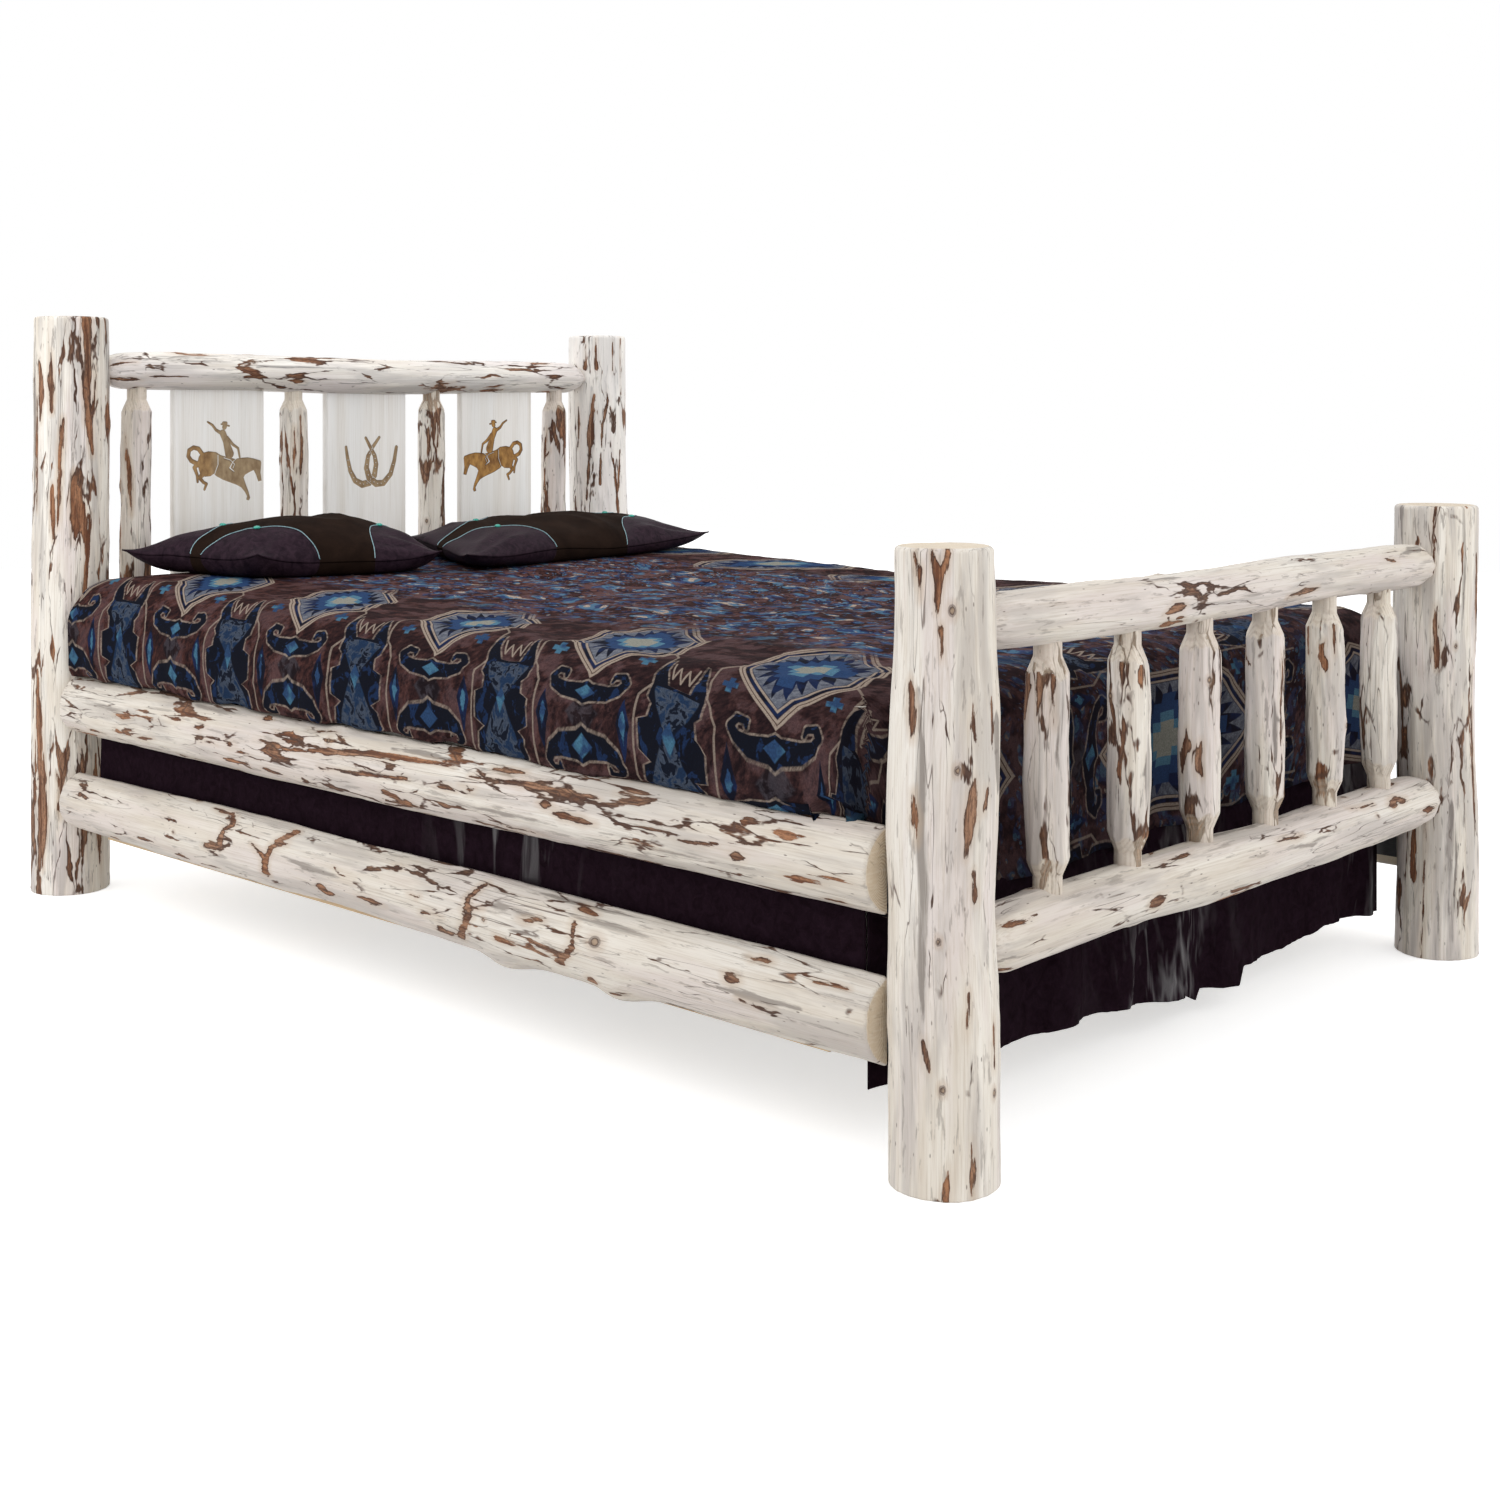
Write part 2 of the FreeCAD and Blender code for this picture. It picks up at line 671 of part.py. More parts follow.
def make_side_skirt(side):
    """Side panel of the bed skirt, pleated, behind the side rails."""
    low = slat_top_z + skirt_side_lift
    high = deck_z
    length = box_spring_length
    wires = []
    for height, share in ((low, 1), (high, skirt_top_share)):
        origin = Vec(side * skirt_side_x(), bedding_y - length / 2, height)
        wires.append(wavy_band(origin, Vec(0, 1, 0), Vec(side, 0, 0), length, skirt_side_wave * share,
                               skirt_thickness, skirt_side_pleats))
    return Part.makeLoft(wires, True, True)


def make_foot_skirt():
    """Foot panel of the bed skirt: it leans out, and its pleats deepen to the hem."""
    half = box_spring_width / 2
    middle_z = (skirt_foot_hem_right + deck_z) / 2
    levels = ((skirt_foot_hem_right, 1), (middle_z, skirt_middle_share), (deck_z, skirt_top_share))
    wires = []
    for height, share in levels:
        origin = Vec(-half, skirt_foot_y(share), height)
        wires.append(wavy_band(origin, Vec(1, 0, 0), Vec(0, -1, 0), 2 * half, skirt_foot_wave * share,
                               skirt_thickness, skirt_foot_pleats))
    panel = Part.makeLoft(wires, True, True)
    hem_rise = skirt_foot_hem_left - skirt_foot_hem_right
    below = [Vec(-half - overrun, 0, skirt_foot_hem_left), Vec(half + overrun, 0, skirt_foot_hem_right),
             Vec(half + overrun, 0, skirt_foot_hem_right - hem_rise - overrun),
             Vec(-half - overrun, 0, skirt_foot_hem_right - hem_rise - overrun)]
    below.append(below[0])
    trim = Part.Face(Part.makePolygon([point - Vec(0, post_spacing_y, 0) for point in below]))
    return panel.cut(trim.extrude(Vec(0, 2 * post_spacing_y, 0)))


def comforter_section(along, top, reach):
    """Outline across the bed: hem, swelling side, round shoulder and crown, left and right."""
    hem = Vec(mattress_width / 2 + comforter_hem_cover, along, comforter_hem_z)
    belly = Vec(reach, along, comforter_belly_z)
    bend = Vec(reach - comforter_shoulder * comforter_bend_in_share, along,
               top - comforter_shoulder * comforter_bend_down_share)
    turn = Vec(reach - comforter_shoulder * comforter_round_share, along,
               top - comforter_shoulder * comforter_round_share)
    rim = Vec(reach - comforter_shoulder, along, top - comforter_shoulder * comforter_rim_drop_share)

    def mirror(point):
        return Vec(-point.x, point.y, point.z)

    edges = [
        Part.makeLine(mirror(hem), hem),
        Part.Arc(hem, belly, bend).toShape(),
        Part.Arc(bend, turn, rim).toShape(),
        Part.Arc(rim, Vec(0, along, top), mirror(rim)).toShape(),
        Part.Arc(mirror(rim), mirror(turn), mirror(bend)).toShape(),
        Part.Arc(mirror(bend), mirror(belly), mirror(hem)).toShape(),
    ]
    return Part.Wire(edges)


def make_flap():
    """Foot flap of the comforter: upright folds that deepen to a slanting hem."""
    face_y = bedding_y - mattress_length / 2 - soft_gap
    fold_y = comforter_foot_y + flap_wave
    half = mattress_width / 2
    top_z = mattress_top_z - flap_top_drop
    levels = ((mattress_z - flap_drop_left, mattress_z - flap_drop_right, 1),
              (top_z, top_z, flap_top_wave_share))
    wires = []
    for left_z, right_z, share in levels:
        slope = (right_z - left_z) / (2 * half)
        outer = []
        for step in range(2 * flap_folds + 1):
            across = -half + half * step / flap_folds
            swing = flap_wave * share * math.cos(math.pi * step)
            outer.append(Vec(across, fold_y + swing, left_z + slope * (across + half)))
        inner_right = Vec(half, face_y, right_z)
        inner_left = Vec(-half, face_y, left_z)
        edges = [Part.Arc(outer[step], outer[step + 1], outer[step + 2]).toShape()
                 for step in range(0, 2 * flap_folds, 2)]
        edges += [Part.makeLine(outer[-1], inner_right), Part.makeLine(inner_right, inner_left),
                  Part.makeLine(inner_left, outer[0])]
        wires.append(Part.Wire(edges))
    return Part.makeLoft(wires, True, True)


def make_comforter():
    """Comforter: a quilted cap over the mattress with a flap hanging at the foot."""
    middle_y = (comforter_foot_y + comforter_head_y) / 2
    half_length = (comforter_head_y - comforter_foot_y) / 2
    wires = []
    for share, loft_share, swell_share in zip(comforter_y_shares, comforter_loft_shares,
                                              comforter_swell_shares):
        wires.append(comforter_section(middle_y + half_length * share,
                                       mattress_top_z + comforter_loft * loft_share,
                                       mattress_width / 2 + comforter_swell * swell_share))
    cap = Part.makeLoft(wires, True, True)
    hollow = box(
        Vec(-mattress_width / 2 - soft_gap, bedding_y - mattress_length / 2 - soft_gap, 0),
        Vec(mattress_width / 2 + soft_gap, bedding_y + mattress_length / 2 + soft_gap,
            mattress_top_z + soft_gap))
    skirt_room = box(
        Vec(-side_x, comforter_foot_y + flap_thickness, 0),
        Vec(side_x, 0, mattress_z))
    return cap.fuse(make_flap()).cut(hollow).cut(skirt_room)


def on_mattress(shares):
    """Points over the mattress, from their shares of its half width and half length."""
    return [Vec(mattress_width / 2 * across, bedding_y + mattress_length / 2 * along, 0)
            for across, along in shares]


def make_pillow(front_shares, back_shares, thickness, seat_z):
    """Pillow: crowned slices that are pinched at both ends, with drawn-in long sides."""
    lift = Vec(0, 0, seat_z + thickness * pillow_seat_share)
    front_left, front_right = on_mattress(front_shares)
    back_left, back_right = on_mattress(back_shares)
    wires = []
    for share, puff, draw in zip(pillow_slice_shares, pillow_puff_shares, pillow_draw_shares):
        near = front_left + (front_right - front_left) * share + lift
        far = back_left + (back_right - back_left) * share + lift
        across = far - near
        near, far = near + across * draw, far - across * draw
        centre = (near + far) * 0.5
        crown = centre + Vec(0, 0, thickness * (1 - pillow_seat_share) * puff)
        belly = centre - Vec(0, 0, thickness * pillow_seat_share * puff)
        arcs = [Part.Arc(near, crown, far).toShape(), Part.Arc(far, belly, near).toShape()]
        wires.append(Part.Wire(arcs))
    return Part.makeLoft(wires, True, False)


def rail_faces(end):
    """Height of the lower rail's top and the upper rail's underside."""
    if end > 0:
        return head_low_rail_z + head_low_rail_radius, head_top_rail_z - head_top_rail_radius
    return foot_low_rail_z + foot_low_rail_radius, foot_top_rail_z - foot_top_rail_radius


def build():
    """Every node of the bed, by name."""
    nodes = {name: make_post(name) for name in posts}
    nodes.update({name: make_cross_rail(name) for name in cross_rails})
    rows = (("headboard", 1, head_spindle_count, head_spindle_pitch, head_spindle_radius),
            ("footboard", -1, foot_spindle_count, foot_spindle_pitch, foot_spindle_radius))
    for word, end, count, pitch, radius in rows:
        low_face, high_face = rail_faces(end)
        for number, across in enumerate(spindle_places(count, pitch), 1):
            nodes[f"{word}_spindle_{number}"] = make_spindle(across, end, low_face, high_face, radius,
                                                             number * spindle_turn_step)
    for word, across in zip(("left", "centre", "right"), panel_places()):
        nodes[f"headboard_panel_{word}"] = make_panel(across)
    bars, pins, bar_screws, cleat_screws = [], [], [], []
    for side, word in ((-1, "left"), (1, "right")):
        for level, (height, _, _, _) in side_rails.items():
            nodes[f"side_rail_{level}_{word}"] = make_side_rail(side, level)
            for end in (-1, 1):
                holes = hook_screws(side, end, height, screw_clearance)
                bars.append(hook_bar(side, end, height).cut(holes))
                pins.extend(hook_pins(side, end, height, 0))
                bar_screws.extend(hook_screws(side, end, height, 0))
        nodes[f"ledger_{word}"] = make_ledger(side)
        cleat_screws.extend(ledger_screws(side, 0))
        nodes[f"skirt_{word}"] = make_side_skirt(side)
    nodes["rail_hook_bars"] = Part.makeCompound(bars)
    nodes["rail_hook_pins"] = Part.makeCompound(pins)
    nodes["rail_hook_screws"] = Part.makeCompound(bar_screws)
    nodes["ledger_screws"] = Part.makeCompound(cleat_screws)
    slat_fixings = []
    for number, along in enumerate(slat_places(), 1):
        nodes[f"slat_{number}"] = make_slat(along)
        slat_fixings.extend(slat_screws(along, 0))
    nodes["slat_screws"] = Part.makeCompound(slat_fixings)
    nodes["tenon_screws"] = Part.makeCompound([one for name in posts for one in tenon_screws(name, 0)])
    nodes["centre_beam"] = make_beam()
    for word, along in zip(("foot", "middle", "head"), leg_places()):
        nodes[f"centre_leg_{word}"] = make_leg(along)
    nodes["box_spring"] = soft_block(box_spring_width, box_spring_length, box_spring_z, box_spring_height)
    nodes["mattress"] = soft_block(mattress_width, mattress_length, mattress_z, mattress_height)
    nodes["skirt_deck"] = make_deck()
    nodes["skirt_foot"] = make_foot_skirt()
    nodes["comforter"] = make_comforter()
    bed_top = nodes["comforter"].translated(Vec(0, 0, soft_gap))
    seat_z = mattress_top_z + comforter_loft * max(comforter_loft_shares) - pillow_sink
    pillows = (
        ("left", left_pillow_front_shares, left_pillow_back_shares, left_pillow_thickness),
        ("right", right_pillow_front_shares, right_pillow_back_shares, right_pillow_thickness),
    )
    for word, front, back, thickness in pillows:
        nodes[f"pillow_{word}"] = make_pillow(front, back, thickness, seat_z).cut(bed_top)
    return nodes


if __name__ == "__main__":
    os.makedirs("parts", exist_ok=True)
    for node, shape in build().items():
        print(node, len(shape.Solids), round(shape.Volume), shape.isValid())
        shape.exportStep(f"parts/{node}.step")
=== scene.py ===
"""Looks of the rustic log bed: hand-peeled logs, engraved boards and its bedding.

Metres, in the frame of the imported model: the origin on the floor at the bed's centre,
+X across the bed to the right as seen from the foot, +Y to the head, +Z up."""
import math

import bpy
import numpy as np
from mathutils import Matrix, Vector


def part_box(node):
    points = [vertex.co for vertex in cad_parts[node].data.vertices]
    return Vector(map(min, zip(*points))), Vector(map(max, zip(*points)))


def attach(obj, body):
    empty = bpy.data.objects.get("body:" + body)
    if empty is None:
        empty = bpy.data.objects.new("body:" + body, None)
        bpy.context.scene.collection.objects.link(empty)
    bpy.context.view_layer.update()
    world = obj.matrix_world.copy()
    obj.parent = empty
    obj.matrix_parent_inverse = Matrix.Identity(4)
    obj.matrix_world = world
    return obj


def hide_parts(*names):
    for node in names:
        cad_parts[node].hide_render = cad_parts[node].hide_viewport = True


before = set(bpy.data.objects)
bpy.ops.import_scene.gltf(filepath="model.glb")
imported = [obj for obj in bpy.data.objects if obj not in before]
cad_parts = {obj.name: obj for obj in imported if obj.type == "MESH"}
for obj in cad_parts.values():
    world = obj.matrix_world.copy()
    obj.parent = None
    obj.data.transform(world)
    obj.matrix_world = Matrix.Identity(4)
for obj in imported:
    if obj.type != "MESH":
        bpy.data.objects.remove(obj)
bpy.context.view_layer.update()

random_logs = np.random.default_rng(11)

# Where the posts stand, and their logs: side and end of the bed, radius, girths upwards and turn of
# their sway
post_x = 0.7453
post_y = 1.1473
post_sway_share = 0.05
post_top_round = 0.007
post_foot_round = 0.003
head_post_radius = 0.077
foot_post_radius = 0.072
posts = {
    "head_post_left": (-1, 1, head_post_radius, (1.02, 1.01, 1.00, 0.99, 1.00, 0.98, 0.98, 0.97), 0.4),
    "head_post_right": (1, 1, head_post_radius, (1.00, 0.99, 1.01, 0.98, 0.99, 0.97, 0.98, 0.96), 2.2),
    "foot_post_left": (-1, -1, foot_post_radius, (1.02, 1.00, 1.00, 0.96, 1.01, 1.00, 0.92, 0.90), 5.6),
    "foot_post_right": (1, -1, foot_post_radius, (1.03, 1.01, 0.99, 0.97, 0.98, 1.02, 1.02, 1.01), 3.9),
}

# How many loose patches of bark the posts get, how much bark the knife left between its cuts, and how
# dark the logs are next to each other; a value well below zero makes a log paler instead, painted light
# that stands in for the light on the far head post and the headboard's top rail
post_bark_counts = {"head_post_left": 16, "head_post_right": 12, "foot_post_right": 14}
vein_shares = {"head_post_left": 0.55, "head_post_right": 0.48, "foot_post_right": 0.50,
               "foot_post_left": 0.10, "headboard_spindle": 0.70, "headboard_top": 0.45,
               "footboard_spindle": 0.48, "footboard_top": 0.30, "footboard_bottom": 0.20,
               "side_rail_upper": 0.52, "side_rail_lower": 0.28}
log_tones_and_painted_light = {"head_post_left": -0.35, "head_post_right": -0.5, "foot_post_left": 0.2,
             "foot_post_right": -0.3, "headboard_top": -0.4, "footboard_top": 0.3,
             "footboard_bottom": 0.5, "side_rail": 0.8}

# The turns of a cross rail that the bed hides, and what a point without bark or knots nearby stores
hidden_turns = (-0.9, 2.6)
far_from_bark = 0.05
far_from_knot = 9.0

# Cross rails: the end of the bed, the height, the radius, the girths and the turn of their sway
rail_sway_share = 0.10
rail_into_post = 0.003
rail_end_round = 0.055
rail_end_drop = 0.55
cross_rails = {
    "headboard_top_rail": (1, 1.082, 0.041, (0.92, 1.00, 0.99, 1.03, 1.01, 1.00, 0.98, 0.90), 1.1),
    "headboard_bottom_rail": (1, 0.395, 0.044, (0.95, 1.00, 1.02, 0.99, 1.00, 1.03, 0.99, 0.95), 4.0),
    "footboard_top_rail": (-1, 0.718, 0.040, (0.90, 0.97, 1.02, 0.98, 1.03, 0.98, 1.00, 0.93), 2.6),
    "footboard_bottom_rail": (-1, 0.292, 0.046, (0.94, 1.00, 0.97, 1.04, 1.00, 1.05, 1.02, 0.95), 0.2),
}

# Spindles: the end, the faces of the rails that they stand between, their number, pitch and radius
spindle_rows = {
    "headboard": (1, 0.439, 1.041, 4, 0.396, 0.0315),
    "footboard": (-1, 0.338, 0.678, 6, 0.204, 0.0310),
}
spindle_girth_shares = (0.96, 1.01, 1.04, 0.99, 1.02, 0.97)
spindle_sway_share = 0.07
spindle_turn_step = 2.4
spindle_neck_radius = 0.020
spindle_neck_show = 0.018
spindle_shoulder = 0.026
spindle_cuts = 8
spindle_into_rail = 0.012
spindle_around = 90
spindle_hewn_shade = 0.40

# Half-log side rails
side_flat_x = 0.771
side_log_radius = 0.06213
side_log_x = 0.75487
side_end_round = 0.006
side_sway_share = 0.04
side_low_y = -1.0733
side_high_y = 1.0683
side_flat_count = 24
side_rails = {
    "upper": (0.395, (0.98, 1.00, 1.02, 1.00, 0.99, 1.02, 1.00, 0.97), 0.9),
    "lower": (0.197, (0.99, 1.00, 1.05, 1.06, 1.00, 1.03, 1.00, 0.96), 3.3),
}
knob_places = (-0.315, -0.575)
knob_swell = 0.012

# Marks that show on the near logs: paths of places along the log and turns round it in radians,
# with half widths in millimetres
near_post_bark = (
    (((0.822, -2.74), (0.792, -2.60), (0.745, -2.64)), (1.5, 8.0, 1.0)),
    (((0.822, -2.42), (0.800, -2.50), (0.788, -2.58)), (3.0, 4.5, 5.0)),
    (((0.815, -3.08), (0.795, -3.00), (0.762, -2.98)), (2.0, 6.0, 1.0)),
    (((0.722, -2.56), (0.706, -2.54), (0.688, -2.54)), (4.0, 3.0, 0.5)),
    (((0.655, -3.16), (0.620, -3.10), (0.586, -3.08)), (1.0, 6.0, 1.5)),
    (((0.628, -1.94), (0.600, -1.93), (0.576, -1.86)), (0.8, 4.5, 1.0)),
    (((0.632, -1.46), (0.590, -1.42), (0.578, -1.44)), (2.0, 4.0, 3.0)),
    (((0.530, -1.92), (0.490, -1.95), (0.436, -2.03)), (4.5, 9.5, 2.5)),
    (((0.515, -1.60), (0.496, -1.66)), (3.5, 3.0)),
    (((0.515, -3.02), (0.480, -2.98), (0.456, -2.94)), (2.0, 5.5, 1.0)),
    (((0.412, -1.88), (0.384, -1.82)), (2.5, 4.5)),
    (((0.262, -2.00), (0.235, -2.05), (0.208, -2.08)), (0.8, 3.8, 0.8)),
    (((0.222, -1.40), (0.190, -1.40), (0.160, -1.38)), (0.8, 3.2, 0.8)),
    (((0.200, -2.86), (0.180, -2.80), (0.166, -2.76)), (1.0, 3.6, 1.5)),
    (((0.075, -2.00), (0.040, -1.97), (0.008, -1.98)), (1.0, 3.8, 2.0)),
    (((0.040, -2.42), (0.006, -2.46)), (2.0, 5.0)),
)
head_post_bark = (
    (((1.194, -1.62), (1.10, -1.60), (1.03, -1.66), (0.97, -1.60), (0.91, -1.50)),
     (12.0, 8.0, 9.0, 7.0, 3.0)),
    (((0.96, -1.58), (1.02, -1.44), (1.09, -1.36)), (5.0, 3.0, 1.0)),
    (((0.87, -2.00), (0.82, -1.93), (0.78, -1.90), (0.730, -1.96)), (3.0, 13.0, 15.0, 2.0)),
    (((0.80, -1.80), (0.76, -1.72), (0.70, -1.68)), (8.0, 7.0, 2.0)),
    (((1.115, -2.60), (1.06, -2.62), (1.00, -2.60)), (2.0, 6.0, 4.0)),
    (((1.10, -3.05), (1.04, -2.98), (0.98, -3.02)), (3.0, 9.0, 2.0)),
    (((0.98, -2.30), (0.93, -2.35), (0.84, -2.40), (0.76, -2.42)), (3.0, 5.5, 4.0, 2.0)),
    (((0.84, -2.58), (0.79, -2.56), (0.735, -2.52)), (3.0, 7.0, 2.0)),
    (((0.78, -1.58), (0.70, -1.62), (0.60, -1.66), (0.50, -1.80)), (3.0, 5.0, 4.0, 2.0)),
    (((0.46, -3.00), (0.36, -2.94), (0.22, -2.90), (0.05, -2.96)), (4.0, 10.0, 8.0, 4.0)),
    (((0.30, -1.75), (0.20, -1.70), (0.08, -1.76)), (2.0, 6.0, 3.0)),
)
head_post_stains = (
    (((1.194, -0.80), (1.10, -0.78), (0.98, -0.74), (0.90, -0.76)), (9.0, 9.0, 6.0, 2.0)),
    (((1.15, -3.30), (1.00, -3.34), (0.80, -3.30)), (4.0, 8.0, 4.0)),
)
far_post_bark = (
    (((1.171, -2.73), (1.110, -2.75)), (1.0, 5.0)),
    (((1.184, -2.33), (1.152, -2.36), (1.110, -2.31)), (2.0, 3.5, 5.0)),
    (((1.174, -1.72), (1.103, -1.73)), (1.0, 2.5)),
    (((1.184, -1.35), (1.145, -1.36), (1.042, -1.33)), (2.5, 1.5, 1.5)),
    (((1.006, -3.03), (0.964, -3.01), (0.903, -3.05)), (1.5, 4.5, 2.0)),
    (((1.036, -2.41), (0.965, -2.53), (0.929, -2.56), (0.887, -2.58), (0.822, -2.67), (0.768, -2.73)),
     (2.0, 8.0, 9.0, 4.0, 4.0, 3.0)),
    (((1.000, -2.34), (0.955, -2.13), (0.887, -2.18), (0.809, -2.24)), (1.5, 2.5, 2.5, 4.5)),
    (((1.045, -1.97), (1.023, -1.92), (0.955, -2.13)), (2.0, 5.0, 2.5)),
    (((1.016, -1.90), (0.965, -1.62)), (1.5, 2.5)),
    (((0.916, -1.85), (0.861, -1.73), (0.790, -1.60), (0.732, -1.57)), (2.0, 2.5, 4.0, 5.0)),
    (((0.893, -1.42), (0.855, -1.45), (0.790, -1.54)), (2.0, 4.0, 3.0)),
    (((0.771, -3.19), (0.726, -3.17)), (2.0, 5.0)),
)
near_post_stains = (
    (((0.640, -2.98), (0.520, -2.92), (0.400, -2.88), (0.300, -2.84)), (5.0, 13.0, 12.0, 4.0)),
    (((0.450, -2.98), (0.330, -2.90), (0.240, -2.86)), (3.0, 9.0, 2.0)),
    (((0.600, -1.30), (0.520, -1.20)), (8.0, 7.0)),
)
near_post_knots = ((0.747, -2.35, 0.0052), (0.546, -2.24, 0.0042), (0.328, -2.54, 0.0036),
                   (0.142, -2.52, 0.0042), (0.128, -1.44, 0.0040))
upper_rail_bark = (
    (((0.261, 0.15), (0.128, 0.35), (0.000, 0.55), (-0.213, 0.62)), (3.0, 5.5, 6.0, 2.0)),
    (((0.150, -0.15), (0.020, -0.05), (-0.100, 0.05)), (1.5, 4.0, 1.5)),
    (((-0.260, 0.45), (-0.420, 0.50), (-0.560, 0.48)), (1.0, 5.0, 1.5)),
)
lower_rail_bark = (
    (((0.465, 1.05), (0.440, 0.75), (0.462, 0.50), (0.458, 0.10)), (5.0, 4.5, 3.0, 6.0)),
    (((0.261, 1.00), (0.300, 0.45), (0.312, -0.10), (0.315, -0.35)), (7.0, 4.5, 6.0, 7.0)),
    (((0.312, 0.05), (0.360, 0.35)), (4.0, 1.0)),
    (((0.261, 0.60), (0.300, 0.40)), (1.5, 4.0)),
    (((-0.271, 0.95), (-0.250, 0.45), (-0.262, 0.10), (-0.232, -0.55)), (4.0, 3.0, 4.5, 6.0)),
    (((-0.250, 0.20), (-0.290, 0.35)), (3.5, 0.8)),
    (((-0.475, -0.40), (-0.510, 0.05), (-0.500, 0.60)), (6.0, 4.0, 3.0)),
    (((-0.500, 1.00), (-0.530, 0.92)), (6.0, 3.0)),
    (((-0.330, -0.25), (-0.375, -0.28)), (4.0, 2.0)),
)
upper_rail_knots = ((0.128, 0.62, 0.0042),)
lower_rail_knots = ((-0.556, 0.30, 0.0075), (0.617, 0.10, 0.0030), (-0.300, 0.10, 0.0030))
upper_rail_hump = (0.126, 0.95, 0.035, 0.0075)

# Mesh spacing on the logs
log_step_along = 0.0042
log_step_around = 0.0040


def table_noise(points, table):
    """Smooth noise from a table of random values, for an array of points."""
    cell = np.floor(points).astype(np.int64)
    part = points - cell
    part = part * part * (3 - 2 * part)
    size = table.shape[0]
    total = np.zeros(points.shape[:-1])
    for corner in range(8):
        pick = np.array([(corner >> axis) & 1 for axis in range(3)])
        index = (cell + pick) % size
        weight = np.prod(np.where(pick, part, 1 - part), axis=-1)
        total += weight * table[index[..., 0], index[..., 1], index[..., 2]]
    return total


noise_table = np.random.default_rng(5).uniform(-1, 1, (32, 32, 32))


def noise(points, octaves=1):
    """Sum of octaves of smooth noise, about -1 to 1."""
    total, size = np.zeros(points.shape[:-1]), 1.0
    for octave in range(octaves):
        total += size * table_noise(points / size + 7.3 * octave, noise_table)
        size /= 2
    return total


def smooth_step(value, low, high):
    """0 below low, 1 above high, smooth between."""
    share = np.clip((value - low) / (high - low), 0, 1)
    return share * share * (3 - 2 * share)


def new_mesh(name, points, faces, smooth=True):
    """Mesh object from points and arrays of faces; smooth is one value, or one for each face."""
    mesh = bpy.data.meshes.new(name)
    mesh.vertices.add(len(points))
    mesh.vertices.foreach_set("co", np.asarray(points, np.float32).ravel())
    faces = [np.asarray(group, np.int32) for group in faces if len(group)]
    corners = np.concatenate([group.ravel() for group in faces])
    totals = np.concatenate([np.full(len(group), group.shape[1], np.int32) for group in faces])
    starts = np.concatenate([[0], np.cumsum(totals)[:-1]]).astype(np.int32)
    mesh.loops.add(len(corners))
    mesh.loops.foreach_set("vertex_index", corners)
    mesh.polygons.add(len(totals))
    mesh.polygons.foreach_set("loop_start", starts)
    mesh.polygons.foreach_set("loop_total", totals)
    mesh.polygons.foreach_set("use_smooth", np.full(len(totals), smooth))
    mesh.update(calc_edges=True)
    mesh.validate()
    made = bpy.data.objects.new(name, mesh)
    bpy.context.scene.collection.objects.link(made)
    return made


def set_values(made, name, values):
    """Stores one number, or three, for each point of a mesh under a name."""
    values = np.asarray(values, np.float32)
    if values.ndim == 1:
        made.data.attributes.new(name, "FLOAT", "POINT").data.foreach_set("value", values)
    else:
        made.data.attributes.new(name, "FLOAT_VECTOR", "POINT").data.foreach_set("vector", values.ravel())


def set_material(made, material):
    """Gives a piece its one material."""
    made.data.materials.clear()
    made.data.materials.append(material)
    return made


def dress(made, node):
    """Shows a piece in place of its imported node."""
    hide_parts(node)
    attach(made, "root")


def closed_tube(name, rings, flat_ends=False, flip=False):
    """Mesh through rings of points that close around, with a fan to the middle of each end."""
    count, around = rings.shape[:2]
    index = np.arange(count * around).reshape(count, around)
    following = np.roll(index, -1, axis=1)
    quads = np.stack([index[:-1], following[:-1], following[1:], index[1:]], -1).reshape(-1, 4)
    low, high = np.full(around, count * around), np.full(around, count * around + 1)
    fans = np.concatenate([np.stack([low, following[0], index[0]], -1),
                           np.stack([high, index[-1], following[-1]], -1)])
    if flip:
        quads, fans = quads[:, ::-1], fans[:, ::-1]
    points = np.concatenate([rings.reshape(-1, 3), [rings[0].mean(0), rings[-1].mean(0)]])
    return new_mesh(name, points, [quads, fans], np.repeat([True, not flat_ends], [len(quads), len(fans)]))


def girth_at(shares, girths):
    """Smooth girth between the stations of a log."""
    place = shares * (len(girths) - 1)
    low = np.clip(np.floor(place).astype(int), 0, len(girths) - 2)
    part = place - low
    girths = np.array((girths[0],) + tuple(girths) + (girths[-1],))
    before, start, stop, after = (girths[low + step] for step in range(4))
    return start + 0.5 * part * (stop - before + part * (
        2 * before - 5 * start + 4 * stop - after + part * (3 * (start - stop) + after - before)))


def bark_marks(length, radius, count, long_range, wide_range):
    """Seeded patches of bark: paths along the log with a half width at each point, some of them forked."""
    marks = []
    for _ in range(count):
        start, turn = random_logs.uniform(-0.02, length), random_logs.uniform(0, 2 * math.pi)
        size, wide = 2 * random_logs.uniform(*long_range), random_logs.uniform(*wide_range)
        steps = random_logs.integers(3, 6)
        wander = np.cumsum(random_logs.normal(0, 0.0035 + 0.02 * size / steps, steps)) / radius
        path = [(start + size * step / (steps - 1), turn + wander[step]) for step in range(steps)]
        widths = [wide * random_logs.uniform(0.45, 1.25) for _ in range(steps)]
        widths[0], widths[-1] = widths[0] * 0.2, widths[-1] * 0.2
        marks.append((path, widths))
        if random_logs.uniform() < 0.35 and steps > 3:
            fork = path[2]
            tip = (fork[0] + size * random_logs.uniform(-0.35, 0.35),
                   fork[1] + random_logs.uniform(-0.02, 0.02) / radius)
            marks.append(([fork, tip], [widths[2] * 0.8, 0.0004]))
    return marks


